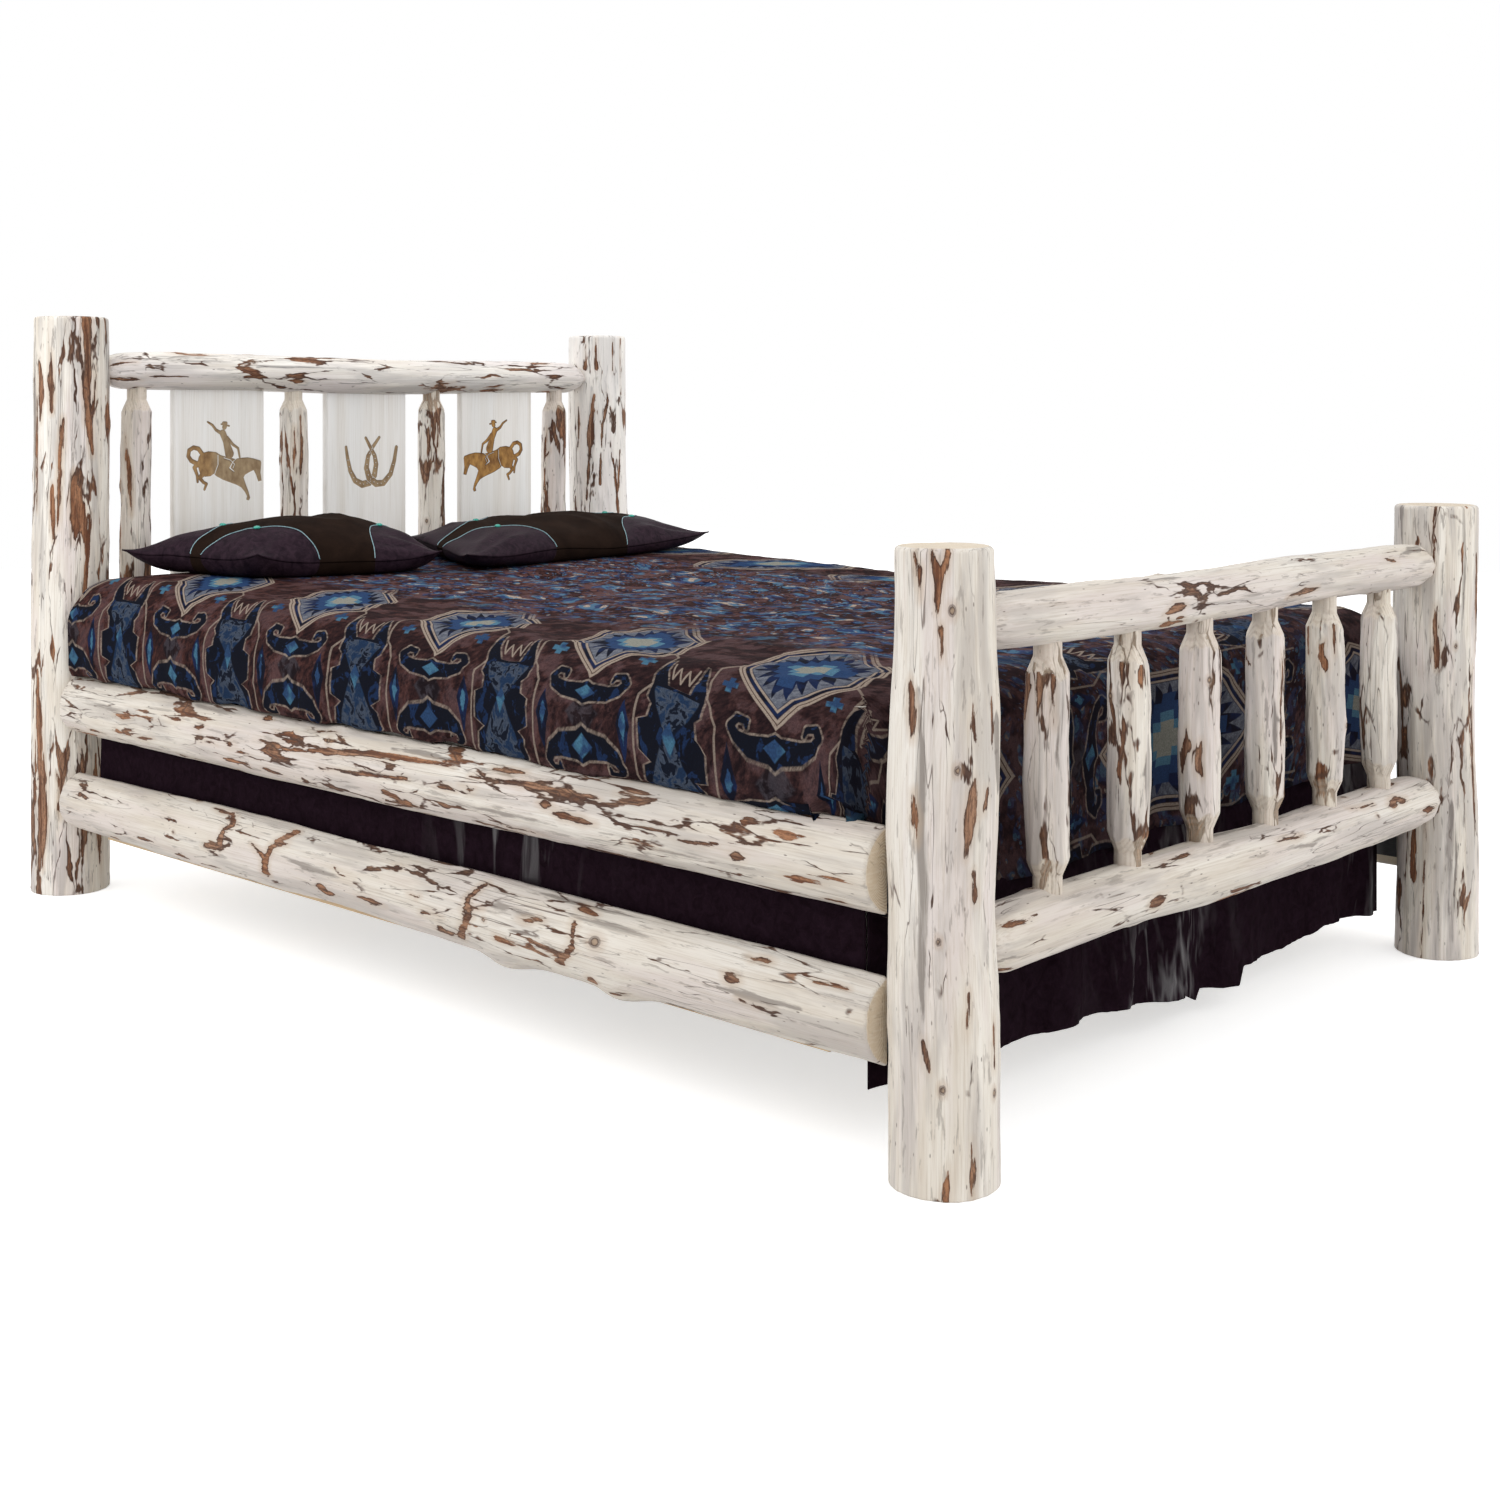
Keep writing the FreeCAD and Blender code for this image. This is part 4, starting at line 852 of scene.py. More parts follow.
def log_material():
    """Hand-peeled pine: cream wood, long stains, brown bark left in hollows, knots and sawn ends."""
    shade = Shade("peeled_log")
    grain = shade.vector("grain")
    bark, knot, cut = shade.value("bark"), shade.value("knot"), shade.value("cut")
    tint = shade.value("tint")
    long_grain = shade.noise(grain, 60, (1, 1, 0.035), 5, 0.6)
    fine_grain = shade.noise(grain, 420, (1, 1, 0.02), 3, 0.6)
    broad = shade.noise(grain, 9, (1, 1, 0.35), 3, 0.55)
    stain = shade.noise(grain, 26, (1, 1, 0.11), 4, 0.6, 0.4)
    wood = shade.mix(long_grain.above(0.5, 0.4), paint(244, 239, 229), paint(216, 205, 190))
    wood = shade.mix(broad.above(0.55, 0.25) * 0.6, wood, paint(248, 245, 239))
    blush = shade.noise(grain, 13, (1, 1, 0.16), 3, 0.55)
    wood = shade.mix(blush.above(0.54, 0.12) * 0.6, wood, paint(222, 209, 208))
    wood = shade.mix(fine_grain.above(0.56, 0.14) * 0.35, wood, paint(178, 160, 140))
    wood = shade.mix(stain.above(0.55, 0.12) * 0.6, wood, paint(176, 170, 166))
    smudge = shade.noise(grain, 105, (1, 1, 0.14), 4, 0.62)
    wood = shade.mix(smudge.above(0.625, 0.06) * 0.55, wood, paint(112, 102, 98))
    dark_stain = shade.value("stain") + (shade.noise(grain, 200, (1, 1, 0.10), 4, 0.65) - 0.5) * 0.016
    stained = dark_stain.below(0.0, 0.003) * long_grain.above(0.46, 0.14) * 0.85
    wood = shade.mix(stained, wood, paint(104, 96, 92))
    halo = bark.below(0.004, 0.010) * broad.above(0.45, 0.3)
    wood = shade.mix(halo * 0.55, wood, (0.50, 0.34, 0.21))
    # Darker logs by their tone value; where it is well below zero, a paler log: painted light on the far
    # head post and the headboard's top rail
    wood = shade.mix(tint.above(0.0, 1.0) * 0.35, wood, paint(184, 174, 162))
    wood = shade.mix(tint.below(-0.4, 0.1) * 0.45, wood, paint(254, 252, 250))
    speck = shade.cells(grain, 95, (1, 1, 0.30))
    wood = shade.mix(speck.below(0.085, 0.05) * broad.below(0.52, 0.1) * 0.75, wood, (0.09, 0.06, 0.045))
    ragged = bark + (shade.noise(grain, 210, (1, 1, 0.09), 5, 0.68) - 0.5) * 0.0115
    ragged = ragged + (shade.noise(grain, 60, (1, 1, 0.35), 2, 0.5) - 0.5) * 0.0050
    parts = shade.parts(grain)
    bend = (shade.noise(grain, 28, (1, 1, 0.5), 2, 0.5) - 0.5) * 0.022
    bent = shade.join(parts[0] + bend, parts[1] - bend, parts[2])
    cuts = shade.cells(bent, 36, (1, 1, 0.13), "DISTANCE_TO_EDGE")
    depth = shade.noise(grain, 19, (1, 1, 0.30), 4, 0.62) - 0.64 + shade.value("vein") * 0.20
    seam = cuts - depth * 1.3
    ragged = ragged.low((seam + (fine_grain - 0.5) * 0.16) * 0.022)
    covered = ragged.below(0.0, 0.0008)
    fleck = shade.noise(grain, 330, (1, 1, 0.3), 4, 0.7)
    rust = shade.noise(grain, 5.5, (1, 1, 0.7), 2, 0.5)
    thread = shade.noise(grain, 150, (1, 1, 0.06), 4, 0.65)
    skin_colour = shade.mix(thread.above(0.5, 0.16), paint(92, 58, 40), paint(160, 122, 96))
    skin_colour = shade.mix(rust.above(0.52, 0.12) * 0.6, skin_colour, shade.mix(
        thread.above(0.5, 0.2), paint(112, 66, 40), paint(168, 114, 76)))
    skin_colour = shade.mix(fleck.below(0.45, 0.14) * 0.6, skin_colour, paint(72, 50, 40))
    colour = shade.mix(covered, wood, skin_colour)
    # Dark edges of the bark patches: partly the bark's own dark rim, partly a painted shadow where the patch
    # sinks into its hollow
    rim = covered * ragged.above(-0.0018, 0.0012)
    colour = shade.mix(rim * blush.above(0.46, 0.10) * 0.75, colour, paint(58, 40, 33))
    crack = abs(shade.noise(grain, 34, (1, 1, 0.035), 2, 0.5) - 0.5)
    cracks = crack.below(0.0022, 0.002) * broad.above(0.50, 0.08)
    cracks = cracks.high(cuts.below(0.016, 0.014) * depth.above(-0.03, 0.05))
    colour = shade.mix(cracks * 0.7, colour, paint(84, 62, 52))
    ring = knot.node("FRACT", knot * 1.3)
    colour = shade.mix(knot.below(2.0, 1.2) * 0.3, colour, paint(168, 136, 108))
    colour = shade.mix(knot.below(1.10, 0.25) * (ring * 0.5 + 0.5), colour, paint(74, 54, 44))
    colour = shade.mix(knot.below(0.55, 0.25) * 0.7, colour, paint(176, 150, 124))
    across = parts[0].wrap(5.0)
    end_distance = (across * across + parts[1] * parts[1]).power(0.5)
    rings = ((end_distance + (broad - 0.5) * 0.012) * 1500.0).sine()
    sawn = shade.mix(rings.above(0.2, 1.2), paint(222, 208, 186), paint(196, 176, 150))
    saw = shade.noise(grain, 300, (0.1, 1, 1), 3, 0.6)
    sawn = shade.mix(saw.above(0.55, 0.2) * 0.4, sawn, paint(230, 222, 208))
    colour = shade.mix(cut, colour, sawn)
    rough = fine_grain * 0.2 + 0.42 + covered * 0.25
    height = (long_grain * 0.35 + fine_grain * 0.25 - covered * 0.9 - cracks * 1.2
              + covered * fleck * 0.9 - knot.below(1.0, 0.3) * 0.5)
    return shade.finish(colour, rough, height, 0.0012, 0.8, Specular_IOR_Level=0.35)


def build_logs():
    """Every log of the frame, with the peeled-log material."""
    material = log_material()
    for node, made in make_posts() + make_cross_rails() + make_spindles() + make_side_rails():
        dress(set_material(made, material), node)


def plain_wood_material():
    """Sawn pine boards of the slats, ledgers, beam and legs."""
    shade = Shade("sawn_pine")
    place = shade.place()
    band = shade.noise(place, 14, (1, 1, 1), 2, 0.5)
    streak = shade.noise(place, 210, (0.05, 0.05, 1), 4, 0.6)
    colour = shade.mix(streak.above(0.5, 0.4), (0.66, 0.50, 0.31), (0.50, 0.34, 0.19))
    colour = shade.mix(band.above(0.55, 0.2) * 0.4, colour, (0.72, 0.58, 0.40))
    return shade.finish(colour, 0.62, streak, 0.0006, 0.7)


def steel_material(name, light, dark, metallic, rough_low):
    """Brushed or painted steel with fine scratches."""
    shade = Shade(name)
    place = shade.place()
    scratch = shade.noise(place, 900, (1, 0.1, 1), 3, 0.6)
    cloud = shade.noise(place, 60, (1, 1, 1), 3, 0.6)
    colour = shade.mix(scratch.above(0.5, 0.4), dark, light)
    return shade.finish(colour, cloud * 0.25 + rough_low, scratch, 0.0002, 0.4, Metallic=metallic)


def dress_hidden_frame():
    """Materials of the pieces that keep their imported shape."""
    pine = plain_wood_material()
    black = steel_material("bracket_steel", (0.07, 0.07, 0.072), (0.035, 0.035, 0.038), 0.0, 0.35)
    zinc = steel_material("screw_steel", (0.62, 0.60, 0.55), (0.40, 0.38, 0.34), 1.0, 0.25)
    for node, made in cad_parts.items():
        if node.startswith(("rail_hook_bars", "rail_hook_pins")):
            set_material(made, black)
        elif node.endswith("screws"):
            set_material(made, zinc)
        elif node.startswith(("slat", "ledger", "centre")):
            set_material(made, pine)


# Comforter: its station shares along the bed, the heights of its top and its half widths
comforter_half = 1.068
comforter_shares = (-1.0, -0.92, -0.45, 0.0, 0.45, 0.90, 0.985, 1.0)
comforter_tops = (0.627, 0.629, 0.633, 0.636, 0.644, 0.660, 0.650, 0.634)
comforter_reaches = (0.793, 0.800, 0.806, 0.802, 0.808, 0.816, 0.810, 0.798)
comforter_thick = 0.015
comforter_step = 0.0096
rim_x = 0.700
rim_y = -0.968
belly_z = 0.530
hem_z = 0.450
hem_x = 0.786
rail_clearance = 0.0025
side_cloth = 0.235
side_round_share = 0.70
flap_y = -1.066
flap_belly_z = 0.548
flap_cloth = 0.390
flap_round_share = 0.42
flap_hem_left = 0.314
flap_hem_right = 0.352
corner_flute = 0.020
inside_rails_x = 0.767
tucked_z = 0.473
over_rail_z = 0.42
mattress_corner = 0.060
mattress_shoulder_z = 0.590
cloth_gap = 0.0045

# Box spring's corner, and the taped edges of it and the mattress
box_spring_corner = 0.045
tape_rise = 0.004
tape_inset = 0.012

# The woven pattern: its repeat along and across the bed, where its columns stand, and how it drifts
# to the head over the edge of the mattress
repeat_along = 0.385
repeat_across = 0.600
horn_phase = -0.126
vase_phase = 0.072
drift_start = 0.150
drift_reach = 0.300
drift_slope = 0.55
drift_gain = 0.25
corner_pull = 0.040

# Its motifs, in metres from each column's middle and from the hem: twin horns, pins beside them, vases,
# medallions and the lines round them
pair_middle = 0.083
horn_arm = ((0.012, 0.032), (0.046, 0.033), (0.070, 0.040), (0.081, 0.053), (0.071, 0.066),
            (0.055, 0.064), (0.052, 0.054))
horn_widths = (0.014, 0.012, 0.009, 0.0075, 0.0065, 0.0055, 0.003)
core_lift = 0.032
core_half = (0.045, 0.019)
core_light_half = (0.020, 0.012)
stem_half = (0.034, 0.030)
pin_place = (0.088, 0.076)
pin_half = (0.016, 0.036)
vase_outside = ((0.000, 0.055), (0.022, 0.062), (0.046, 0.056), (0.053, 0.040), (0.060, 0.064),
                (0.090, 0.066), (0.097, 0.047), (0.117, 0.045), (0.126, 0.056), (0.168, 0.057),
                (0.205, 0.048), (0.224, 0.041), (0.229, -0.060))
vase_gap = ((0.149, -0.090), (0.155, 0.024), (0.185, 0.035), (0.224, 0.040))
vase_body = ((0.000, 0.040), (0.020, 0.049), (0.042, 0.040), (0.085, 0.007), (0.116, 0.034), (0.140, 0.047),
             (0.148, 0.047), (0.152, -0.060))
waist_place = 0.085
waist_half = (0.012, 0.017)
vase_zigzag = ((0.0, 0.166), (0.010, 0.198), (0.019, 0.170), (0.029, 0.208))
lattice = ((0.112, -0.03), (0.112, 0.125), (0.137, 0.160), (0.137, 0.236), (0.114, 0.262))
medallion_middle = 0.330
medallion_half = (0.115, 0.190)
medallion_lean = 1.04
cross_place = (0.097, 0.203)
cross_half = 0.017
cross_arm = 0.0062


def along_bed(y, values):
    """Value at each place along the bed, from the stations of the comforter."""
    return np.interp(y / comforter_half, comforter_shares, values)


def line_distance(x, y, start, stop):
    """Distance to a straight line between two places, and the share along it of the nearest place."""
    (x0, y0), (x1, y1) = start, stop
    run_x, run_y = x1 - x0, y1 - y0
    share = np.clip(((x - x0) * run_x + (y - y0) * run_y) / (run_x ** 2 + run_y ** 2), 0, 1)
    return np.hypot(x - x0 - share * run_x, y - y0 - share * run_y), share


def polygon_distance(x, y, corners):
    """Signed distance to a polygon, negative inside it."""
    nearest = np.full(x.shape, np.inf)
    inside = np.zeros(x.shape, bool)
    for start, stop in zip(corners, corners[1:] + corners[:1]):
        nearest = np.minimum(nearest, line_distance(x, y, start, stop)[0])
        (x0, y0), (x1, y1) = start, stop
        if y0 != y1:
            inside ^= ((y < y0) != (y < y1)) & (x < x0 + (y - y0) * (x1 - x0) / (y1 - y0))
    return np.where(inside, -nearest, nearest)


def stroke_distance(x, y, path, widths):
    """Signed distance to a line whose half widths change from point to point."""
    nearest = np.full(x.shape, np.inf)
    for start, stop, low, high in zip(path, path[1:], widths, widths[1:]):
        away, share = line_distance(x, y, start, stop)
        nearest = np.minimum(nearest, away - (low + (high - low) * share))
    return nearest


def grid_normals(points):
    """Outward direction at each point of a grid."""
    normal = np.cross(np.gradient(points, axis=0), np.gradient(points, axis=1))
    return normal / np.maximum(np.linalg.norm(normal, axis=-1, keepdims=True), 1e-9)


def comforter_side(share, y):
    """Outward reach and height along the cloth from the rim down to the side hem."""
    turn = np.clip(share / side_round_share, 0, 1) * math.pi / 2
    under = np.clip((share - side_round_share) / (1 - side_round_share), 0, 1) * math.pi / 2
    top, reach = along_bed(y, comforter_tops), along_bed(y, comforter_reaches)
    out = (reach - rim_x) * np.sin(turn) ** 0.85 - (reach - hem_x) * (1 - np.cos(under))
    lift = belly_z + (top - belly_z) * np.cos(turn) ** 0.85 - (belly_z - hem_z) * np.sin(under)
    return out, lift


def comforter_foot(share, x):
    """Outward reach and height along the cloth from the rim down to the foot hem."""
    turn = np.clip(share / flap_round_share, 0, 1) * math.pi / 2
    fall = np.clip((share - flap_round_share) / (1 - flap_round_share), 0, 1)
    hem = flap_hem_left + (flap_hem_right - flap_hem_left) * (0.5 + x / (2 * rim_x))
    wave = 0.0075 * np.sin(x * 29 + 1.5 * np.sin(x * 5) + 0.6) + 0.003 * np.sin(x * 71 + 1)
    out = (rim_y - flap_y) * np.sin(turn) ** 0.85 - fall * 0.008 + np.sqrt(fall) * (wave - 0.007)
    lift = flap_belly_z + (comforter_tops[0] - flap_belly_z) * np.cos(turn) ** 0.85
    return out, lift - (flap_belly_z - hem) * fall


def rail_top(points):
    """Lowest height that clears the upper side rails, at each point."""
    height, _, _ = side_rails["upper"]
    place, _, spread, rise = upper_rail_hump
    hump = rise * np.exp(-((points[..., 1] - place) / spread) ** 2)
    reach = side_log_radius * 1.03 + hump + rail_clearance
    across = np.abs(points[..., 0]) - side_log_x
    over = (np.abs(across) < reach) & (across > side_flat_x - side_log_x - 0.004)
    over &= (points[..., 1] > side_low_y) & (points[..., 1] < side_high_y)
    return np.where(over, height + np.sqrt(np.maximum(reach * reach - across * across, 0)), 0)


def off_mattress(points):
    """Moves hanging cloth that sinks into the mattress out to its faces."""
    low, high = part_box("mattress")
    x, y, z = np.moveaxis(points, -1, 0)
    past_x = np.maximum(np.abs(x) - high.x + mattress_corner, 0)
    past_y = np.maximum(low.y + mattress_corner - y, 0)
    span = np.maximum(np.hypot(past_x, past_y), 1e-6)
    push = np.where(z < mattress_shoulder_z, np.maximum(mattress_corner + cloth_gap - span, 0), 0) / span
    return np.stack([x + np.sign(x) * past_x * push, y - past_y * push, z], -1)


def comforter_relief(u, v):
    """How far wrinkles and puckers lift the cloth at its flat places."""
    spot = np.stack([u, v, 0 * u], -1)
    bent = spot + 0.05 * noise(spot * 6 + 3)[..., None]
    wrinkle = 0.0042 * noise(spot * 4.5 + 9) + 0.0030 * (1 - 2.4 * np.abs(noise(bent * (9, 6, 1) + 31)))
    wrinkle += 0.0022 * (1 - 2.2 * np.abs(noise(bent * (23, 14, 1) + 57))) + 0.0007 * noise(spot * 60)
    calm = 1 - 0.75 * smooth_step(v, 0.50, 0.62) * (1 - smooth_step(np.abs(u), 0.70, 0.80))
    pucker = 0.0035 * noise(np.stack([u * 3, v * 16, 0 * u], -1) + 77)
    return (wrinkle - 0.004) * calm + pucker * smooth_step(np.abs(u), 0.7, 0.9)


def make_comforter(material):
    """Quilted cover over the mattress, hanging at both sides and at the foot."""
    half = rim_x + side_cloth
    columns = int(2 * half / comforter_step)
    rows = int((comforter_half - rim_y + flap_cloth) / comforter_step)
    u, v = np.meshgrid(np.linspace(-half, half, columns),
                       np.linspace(comforter_half, rim_y - flap_cloth, rows), indexing="xy")
    side = np.sign(u) + (u == 0)
    p = np.clip((np.abs(u) - rim_x) / side_cloth, 0, 1)
    q = np.clip((rim_y - v) / flap_cloth, 0, 1)
    far = np.maximum(p, q)
    lean = np.where(p >= q, q / np.maximum(p, 1e-6), 2 - p / np.maximum(q, 1e-6)) * math.pi / 4
    y = np.maximum(v, rim_y)
    x = side * np.minimum(np.abs(u), rim_x)
    side_out, side_lift = comforter_side(far, y)
    foot_out, foot_lift = comforter_foot(far, x)
    share = smooth_step(lean, 0.55, 1.35)
    out = side_out * (1 - share) + foot_out * share
    lift = side_lift * (1 - share) + foot_lift * share
    corner = (p > 0) & (q > 0)
    flute = np.where(corner, np.sin(2 * lean) ** 2 * -np.cos(8 * lean + 0.7), 0)
    out = out + corner_flute * far * flute
    cloth_out = far * np.where(p >= q, side_cloth, flap_cloth)
    flat = (p == 0) & (q == 0)
    edge_x = np.where(p > 0, x + side * out * np.cos(lean), x)
    edge_y = np.where(q > 0, y - out * np.sin(lean), y)
    below = smooth_step(tucked_z - lift, 0, 0.01)
    edge_x = np.where(corner, side * (np.abs(edge_x) + (np.minimum(np.abs(edge_x), inside_rails_x)
                                                        - np.abs(edge_x)) * below), edge_x)
    points = np.stack([edge_x, edge_y, np.where(flat, along_bed(y, comforter_tops), lift)], -1)
    cloth_u = x + side * cloth_out * np.cos(lean) * (p > 0)
    cloth_v = y - cloth_out * np.sin(lean) * (q > 0)
    points = off_mattress(points + grid_normals(points) * comforter_relief(cloth_u, cloth_v)[..., None])
    height = points[..., 2]
    points[..., 2] = np.where(height > over_rail_z, np.maximum(height, rail_top(points)), height)
    up = half - np.abs(cloth_u)
    up = up + corner_pull * (1 - smooth_step(cloth_v, -0.85, -0.60))
    made = make_sheet("comforter_cloth", points, comforter_thick, material,
                      [("cloth", np.stack([cloth_v, up, cloth_u], -1))])
    dress(made, "comforter")


# Skirt: how far its side panels stand out, their pleats, and the foot panel's hem
skirt_thick = 0.0016
skirt_top = 0.4070
skirt_side_low = 0.193
skirt_side_x = 0.7588
skirt_shine = ((-0.03, 0.13), (0.645, 0.040))
skirt_side_ends = (-1.0252, 0.9970)
skirt_foot_y = -1.0275
skirt_foot_half = 0.7545
skirt_corner = 0.090
skirt_foot_hem = ((-0.754, 0.092), (-0.48, 0.086), (-0.20, 0.077), (0.03, 0.050), (0.075, 0.031),
                  (0.085, 0.049), (0.185, 0.035), (0.20, 0.066), (0.37, 0.057), (0.49, 0.078),
                  (0.62, 0.066), (0.754, 0.050))
deck_z = 0.4094

# Pillows: corners from the front left round to the back left, thickness and seam heights
pillows = {
    "pillow_left": (((-0.556, 0.742), (-0.160, 0.648), (0.002, 1.062), (-0.682, 1.052)), 0.118, 14.0),
    "pillow_right": (((-0.128, 0.606), (0.728, 0.716), (0.728, 1.052), (0.038, 1.052)), 0.097, 41.0),
}
pillow_grid = 110
pillow_seam_gap = 0.003
yoke_edge = ((1.02, 0.07), (0.90, 0.13), (0.74, 0.16), (0.58, 0.30), (0.46, 0.40), (0.36, 0.66),
             (0.29, 1.02))
bead_place = (0.58, 0.30)
piping_radius = 0.0009
bead_radius = 0.0074

# Boards: their middles and what is burnt on them, in millimetres from each figure's middle
boards = {"headboard_panel_left": (-0.396, "left"), "headboard_panel_centre": (0.0, "shoes"),
          "headboard_panel_right": (0.396, "right")}
board_half = 0.1138
board_y = (1.1375, 1.1571)
board_ease = 0.003
figure_z = 0.884
figure_reach = 0.100
figure_depth = 0.0014
horse_body = ((-47, 20), (-29, 24), (-10, 22), (2, 15), (20, 10), (38, 6), (51, 8), (70, 9), (87, 6),
              (104, 1), (106, -4), (104, -26), (107, -44), (98, -46), (92, -30), (86, -20), (74, -25),
              (64, -30), (60, -36), (66, -52), (73, -68), (77, -82), (74, -88), (67, -86), (69, -78),
              (63, -68), (54, -58), (42, -52), (25, -46), (8, -40), (-8, -32), (-16, -26), (-24, -31),
              (-38, -32), (-50, -25), (-54, -12), (-56, 0), (-53, 12))
horse_lines = (
    (((-45, 19), (-54, 30), (-66, 33), (-77, 27), (-79, 14), (-72, 4), (-61, -1)),
     (5.0, 5.0, 4.6, 4.6, 4.6, 4.8, 5.0)),
    (((-53, -2), (-64, -11), (-57, -28), (-56, -43)), (6.0, 4.4, 3.6, 2.6)),
    (((-45, -28), (-51, -34), (-42, -44), (-34, -48), (-39, -60)), (6.0, 4.4, 3.6, 3.4, 2.6)),
)
rider = (
    (((7, 64), (15, 46), (24, 18)), (8.0, 7.6, 11.0)),
    (((11, 77), (12, 79)), (5.6, 5.6)),
    (((3, 84), (23, 80)), (1.6, 2.0)),
    (((9, 86), (15, 86)), (4.0, 4.0)),
    (((3, 64), (-10, 71), (-19, 82), (-31, 89)), (4.4, 3.4, 2.8, 2.0)),
    (((18, 54), (33, 38), (46, 30), (50, 10)), (4.0, 3.4, 2.8, 2.4)),
)
horse_seams = (
    (((-5, 15), (-5, -6), (-14, -28)), (0.9, 0.9, 0.9)),
    (((10, 9), (26, 4), (37, -6), (33, -15)), (0.8, 0.8, 0.8, 0.8)),
    (((44, 8), (33, 0), (25, -14), (36, -22)), (0.7, 0.7, 1.6, 0.7)),
)
left_shoe = ((-60, 28), (-56, 4), (-48, -28), (-34, -51), (-14, -61), (6, -57), (21, -40), (26, -14),
             (22, 6), (10, 26), (-4, 49))
right_shoe = ((35, 50), (17, 28), (3, 6), (-2, -22), (6, -46), (26, -60), (47, -59), (68, -38),
              (79, -6), (85, 26))
shoe_widths = (3.6, 4.6, 5.6, 7.0, 8.2, 8.2, 7.4, 6.4, 5.4, 4.6, 3.6)
nail_radius = 1.3
shoe_gap = 1.2


def make_shell(name, grid, under, material, values):
    """Closed piece between two grids of points, the first one outside.

    Each value has its name, its numbers and, where the inside differs, the inside's one number."""
    rows, columns = grid.shape[:2]
    count = rows * columns
    index = np.arange(count).reshape(rows, columns)
    quads = np.stack([index[:-1, :-1], index[1:, :-1], index[1:, 1:], index[:-1, 1:]], -1).reshape(-1, 4)
    edge = np.concatenate([index[:, 0], index[-1, 1:], index[-2::-1, -1], index[0, -2:0:-1]])
    following = np.roll(edge, -1)
    rim = np.stack([following, edge, edge + count, following + count], -1)
    made = new_mesh(name, np.concatenate([grid.reshape(-1, 3), under.reshape(-1, 3)]),
                    [np.concatenate([quads, quads[:, ::-1] + count, rim])])
    for word, value, *other in values:
        value = value.reshape(count, -1) if value.ndim > 2 else value.ravel()
        set_values(made, word, np.concatenate([value, other[0] + 0 * value if other else value]))
    return set_material(made, material)


def make_sheet(name, grid, thick, material, values):
    """Sheet of cloth: a grid of points, thickened against its normals."""
    return make_shell(name, grid, grid - grid_normals(grid) * thick, material, values)


def make_side_skirt(side, material):
    """Pleated cloth that hangs beside the box spring."""
    low_y, high_y = skirt_side_ends
    run = np.linspace(low_y, high_y, 420)[::side]
    y, z = np.meshgrid(run, np.linspace(skirt_top, skirt_side_low, 30), indexing="xy")
    fall = (skirt_top - z) / (skirt_top - skirt_side_low)
    spot = np.stack([y, z, 0 * y + side], -1)
    slack = y + 0.10 * fall + 0.03 * noise(spot * 5)
    wave = 0.0016 * np.sin(slack * 41 + 2 * np.sin(slack * 7)) * (0.3 + 0.7 * fall)
    wave += 0.0007 * noise(spot * (26, 9, 1) + 5)
    points = np.stack([side * (skirt_side_x + wave), y, z], -1)
    made = make_sheet("skirt_cloth_" + ("right" if side > 0 else "left"), points, skirt_thick, material,
                      [("shine", np.exp(-((y + 0.28) / 0.13) ** 2))])
    dress(made, "skirt_right" if side > 0 else "skirt_left")


def make_foot_skirt(material):
    """Crinkled cloth that hangs at the foot, with deep uneven folds."""
    half = skirt_foot_half
    x, fall = np.meshgrid(np.linspace(-half, half, 452), np.linspace(0, 1, 108), indexing="xy")
    hem = np.interp(x, *np.array(skirt_foot_hem).T)
    z = skirt_top - (skirt_top - hem) * fall
    spot = np.stack([x, z, 0 * x], -1)
    slack = x + 0.035 * noise(spot * (3, 2, 1) + 4) + 0.03 * fall
    fold = np.sin(slack * 30 + 2.2 * np.sin(slack * 6.3 + 1))
    fold = np.sign(fold) * np.abs(fold) ** 0.7
    crease = 1 - 2.2 * np.abs(noise((spot + 0.03 * noise(spot * 9)[..., None]) * (17, 9, 1) + 11))
    crinkle = 1 - 2.2 * np.abs(noise((spot + 0.02 * noise(spot * 14 + 3)[..., None]) * (52, 34, 1) + 23))
    out = 0.019 * np.minimum(fall * 1.6, 1) + 0.010 * fold * fall ** 0.6 + 0.0026 * crease + 0.0011 * crinkle
    out = np.maximum(out, 0) * smooth_step(half - np.abs(x), 0, skirt_corner)
    points = np.stack([x, skirt_foot_y - out, z], -1)
    shine = sum(np.exp(-((x - place) / spread) ** 2) for place, spread in skirt_shine)
    made = make_sheet("skirt_cloth_foot", points, skirt_thick, material, [("shine", shine)])
    dress(made, "skirt_foot")


def make_deck(material):
    """Thin cloth between box spring and mattress that the skirt is sewn to."""
    low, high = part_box("skirt_deck")
    x, y = np.meshgrid(np.linspace(low.x, high.x, 80), np.linspace(high.y, low.y, 100), indexing="xy")
    spot = np.stack([x, y, 0 * x], -1)
    points = np.stack([x, y, deck_z + 0.0002 * noise(spot * 12)], -1)
    made = make_sheet("skirt_deck_cloth", points, 0.0014, material, [("shine", 0 * x)])
    dress(made, "skirt_deck")


def rounded_outline(half_x, half_y, corner):
    """Points round a rectangle with rounded corners."""
    arcs = []
    for quarter, (side_x, side_y) in enumerate(((1, 1), (-1, 1), (-1, -1), (1, -1))):
        turn = (quarter + np.linspace(0, 1, 12)) * math.pi / 2
        arcs.append(np.stack([side_x * (half_x - corner) + corner * np.cos(turn),
                              side_y * (half_y - corner) + corner * np.sin(turn)], -1))
    runs = [np.linspace(arc[-1], following[0], 90)[1:-1]
            for arc, following in zip(arcs, arcs[1:] + arcs[:1])]
    return np.concatenate([part for pair in zip(arcs, runs) for part in pair])


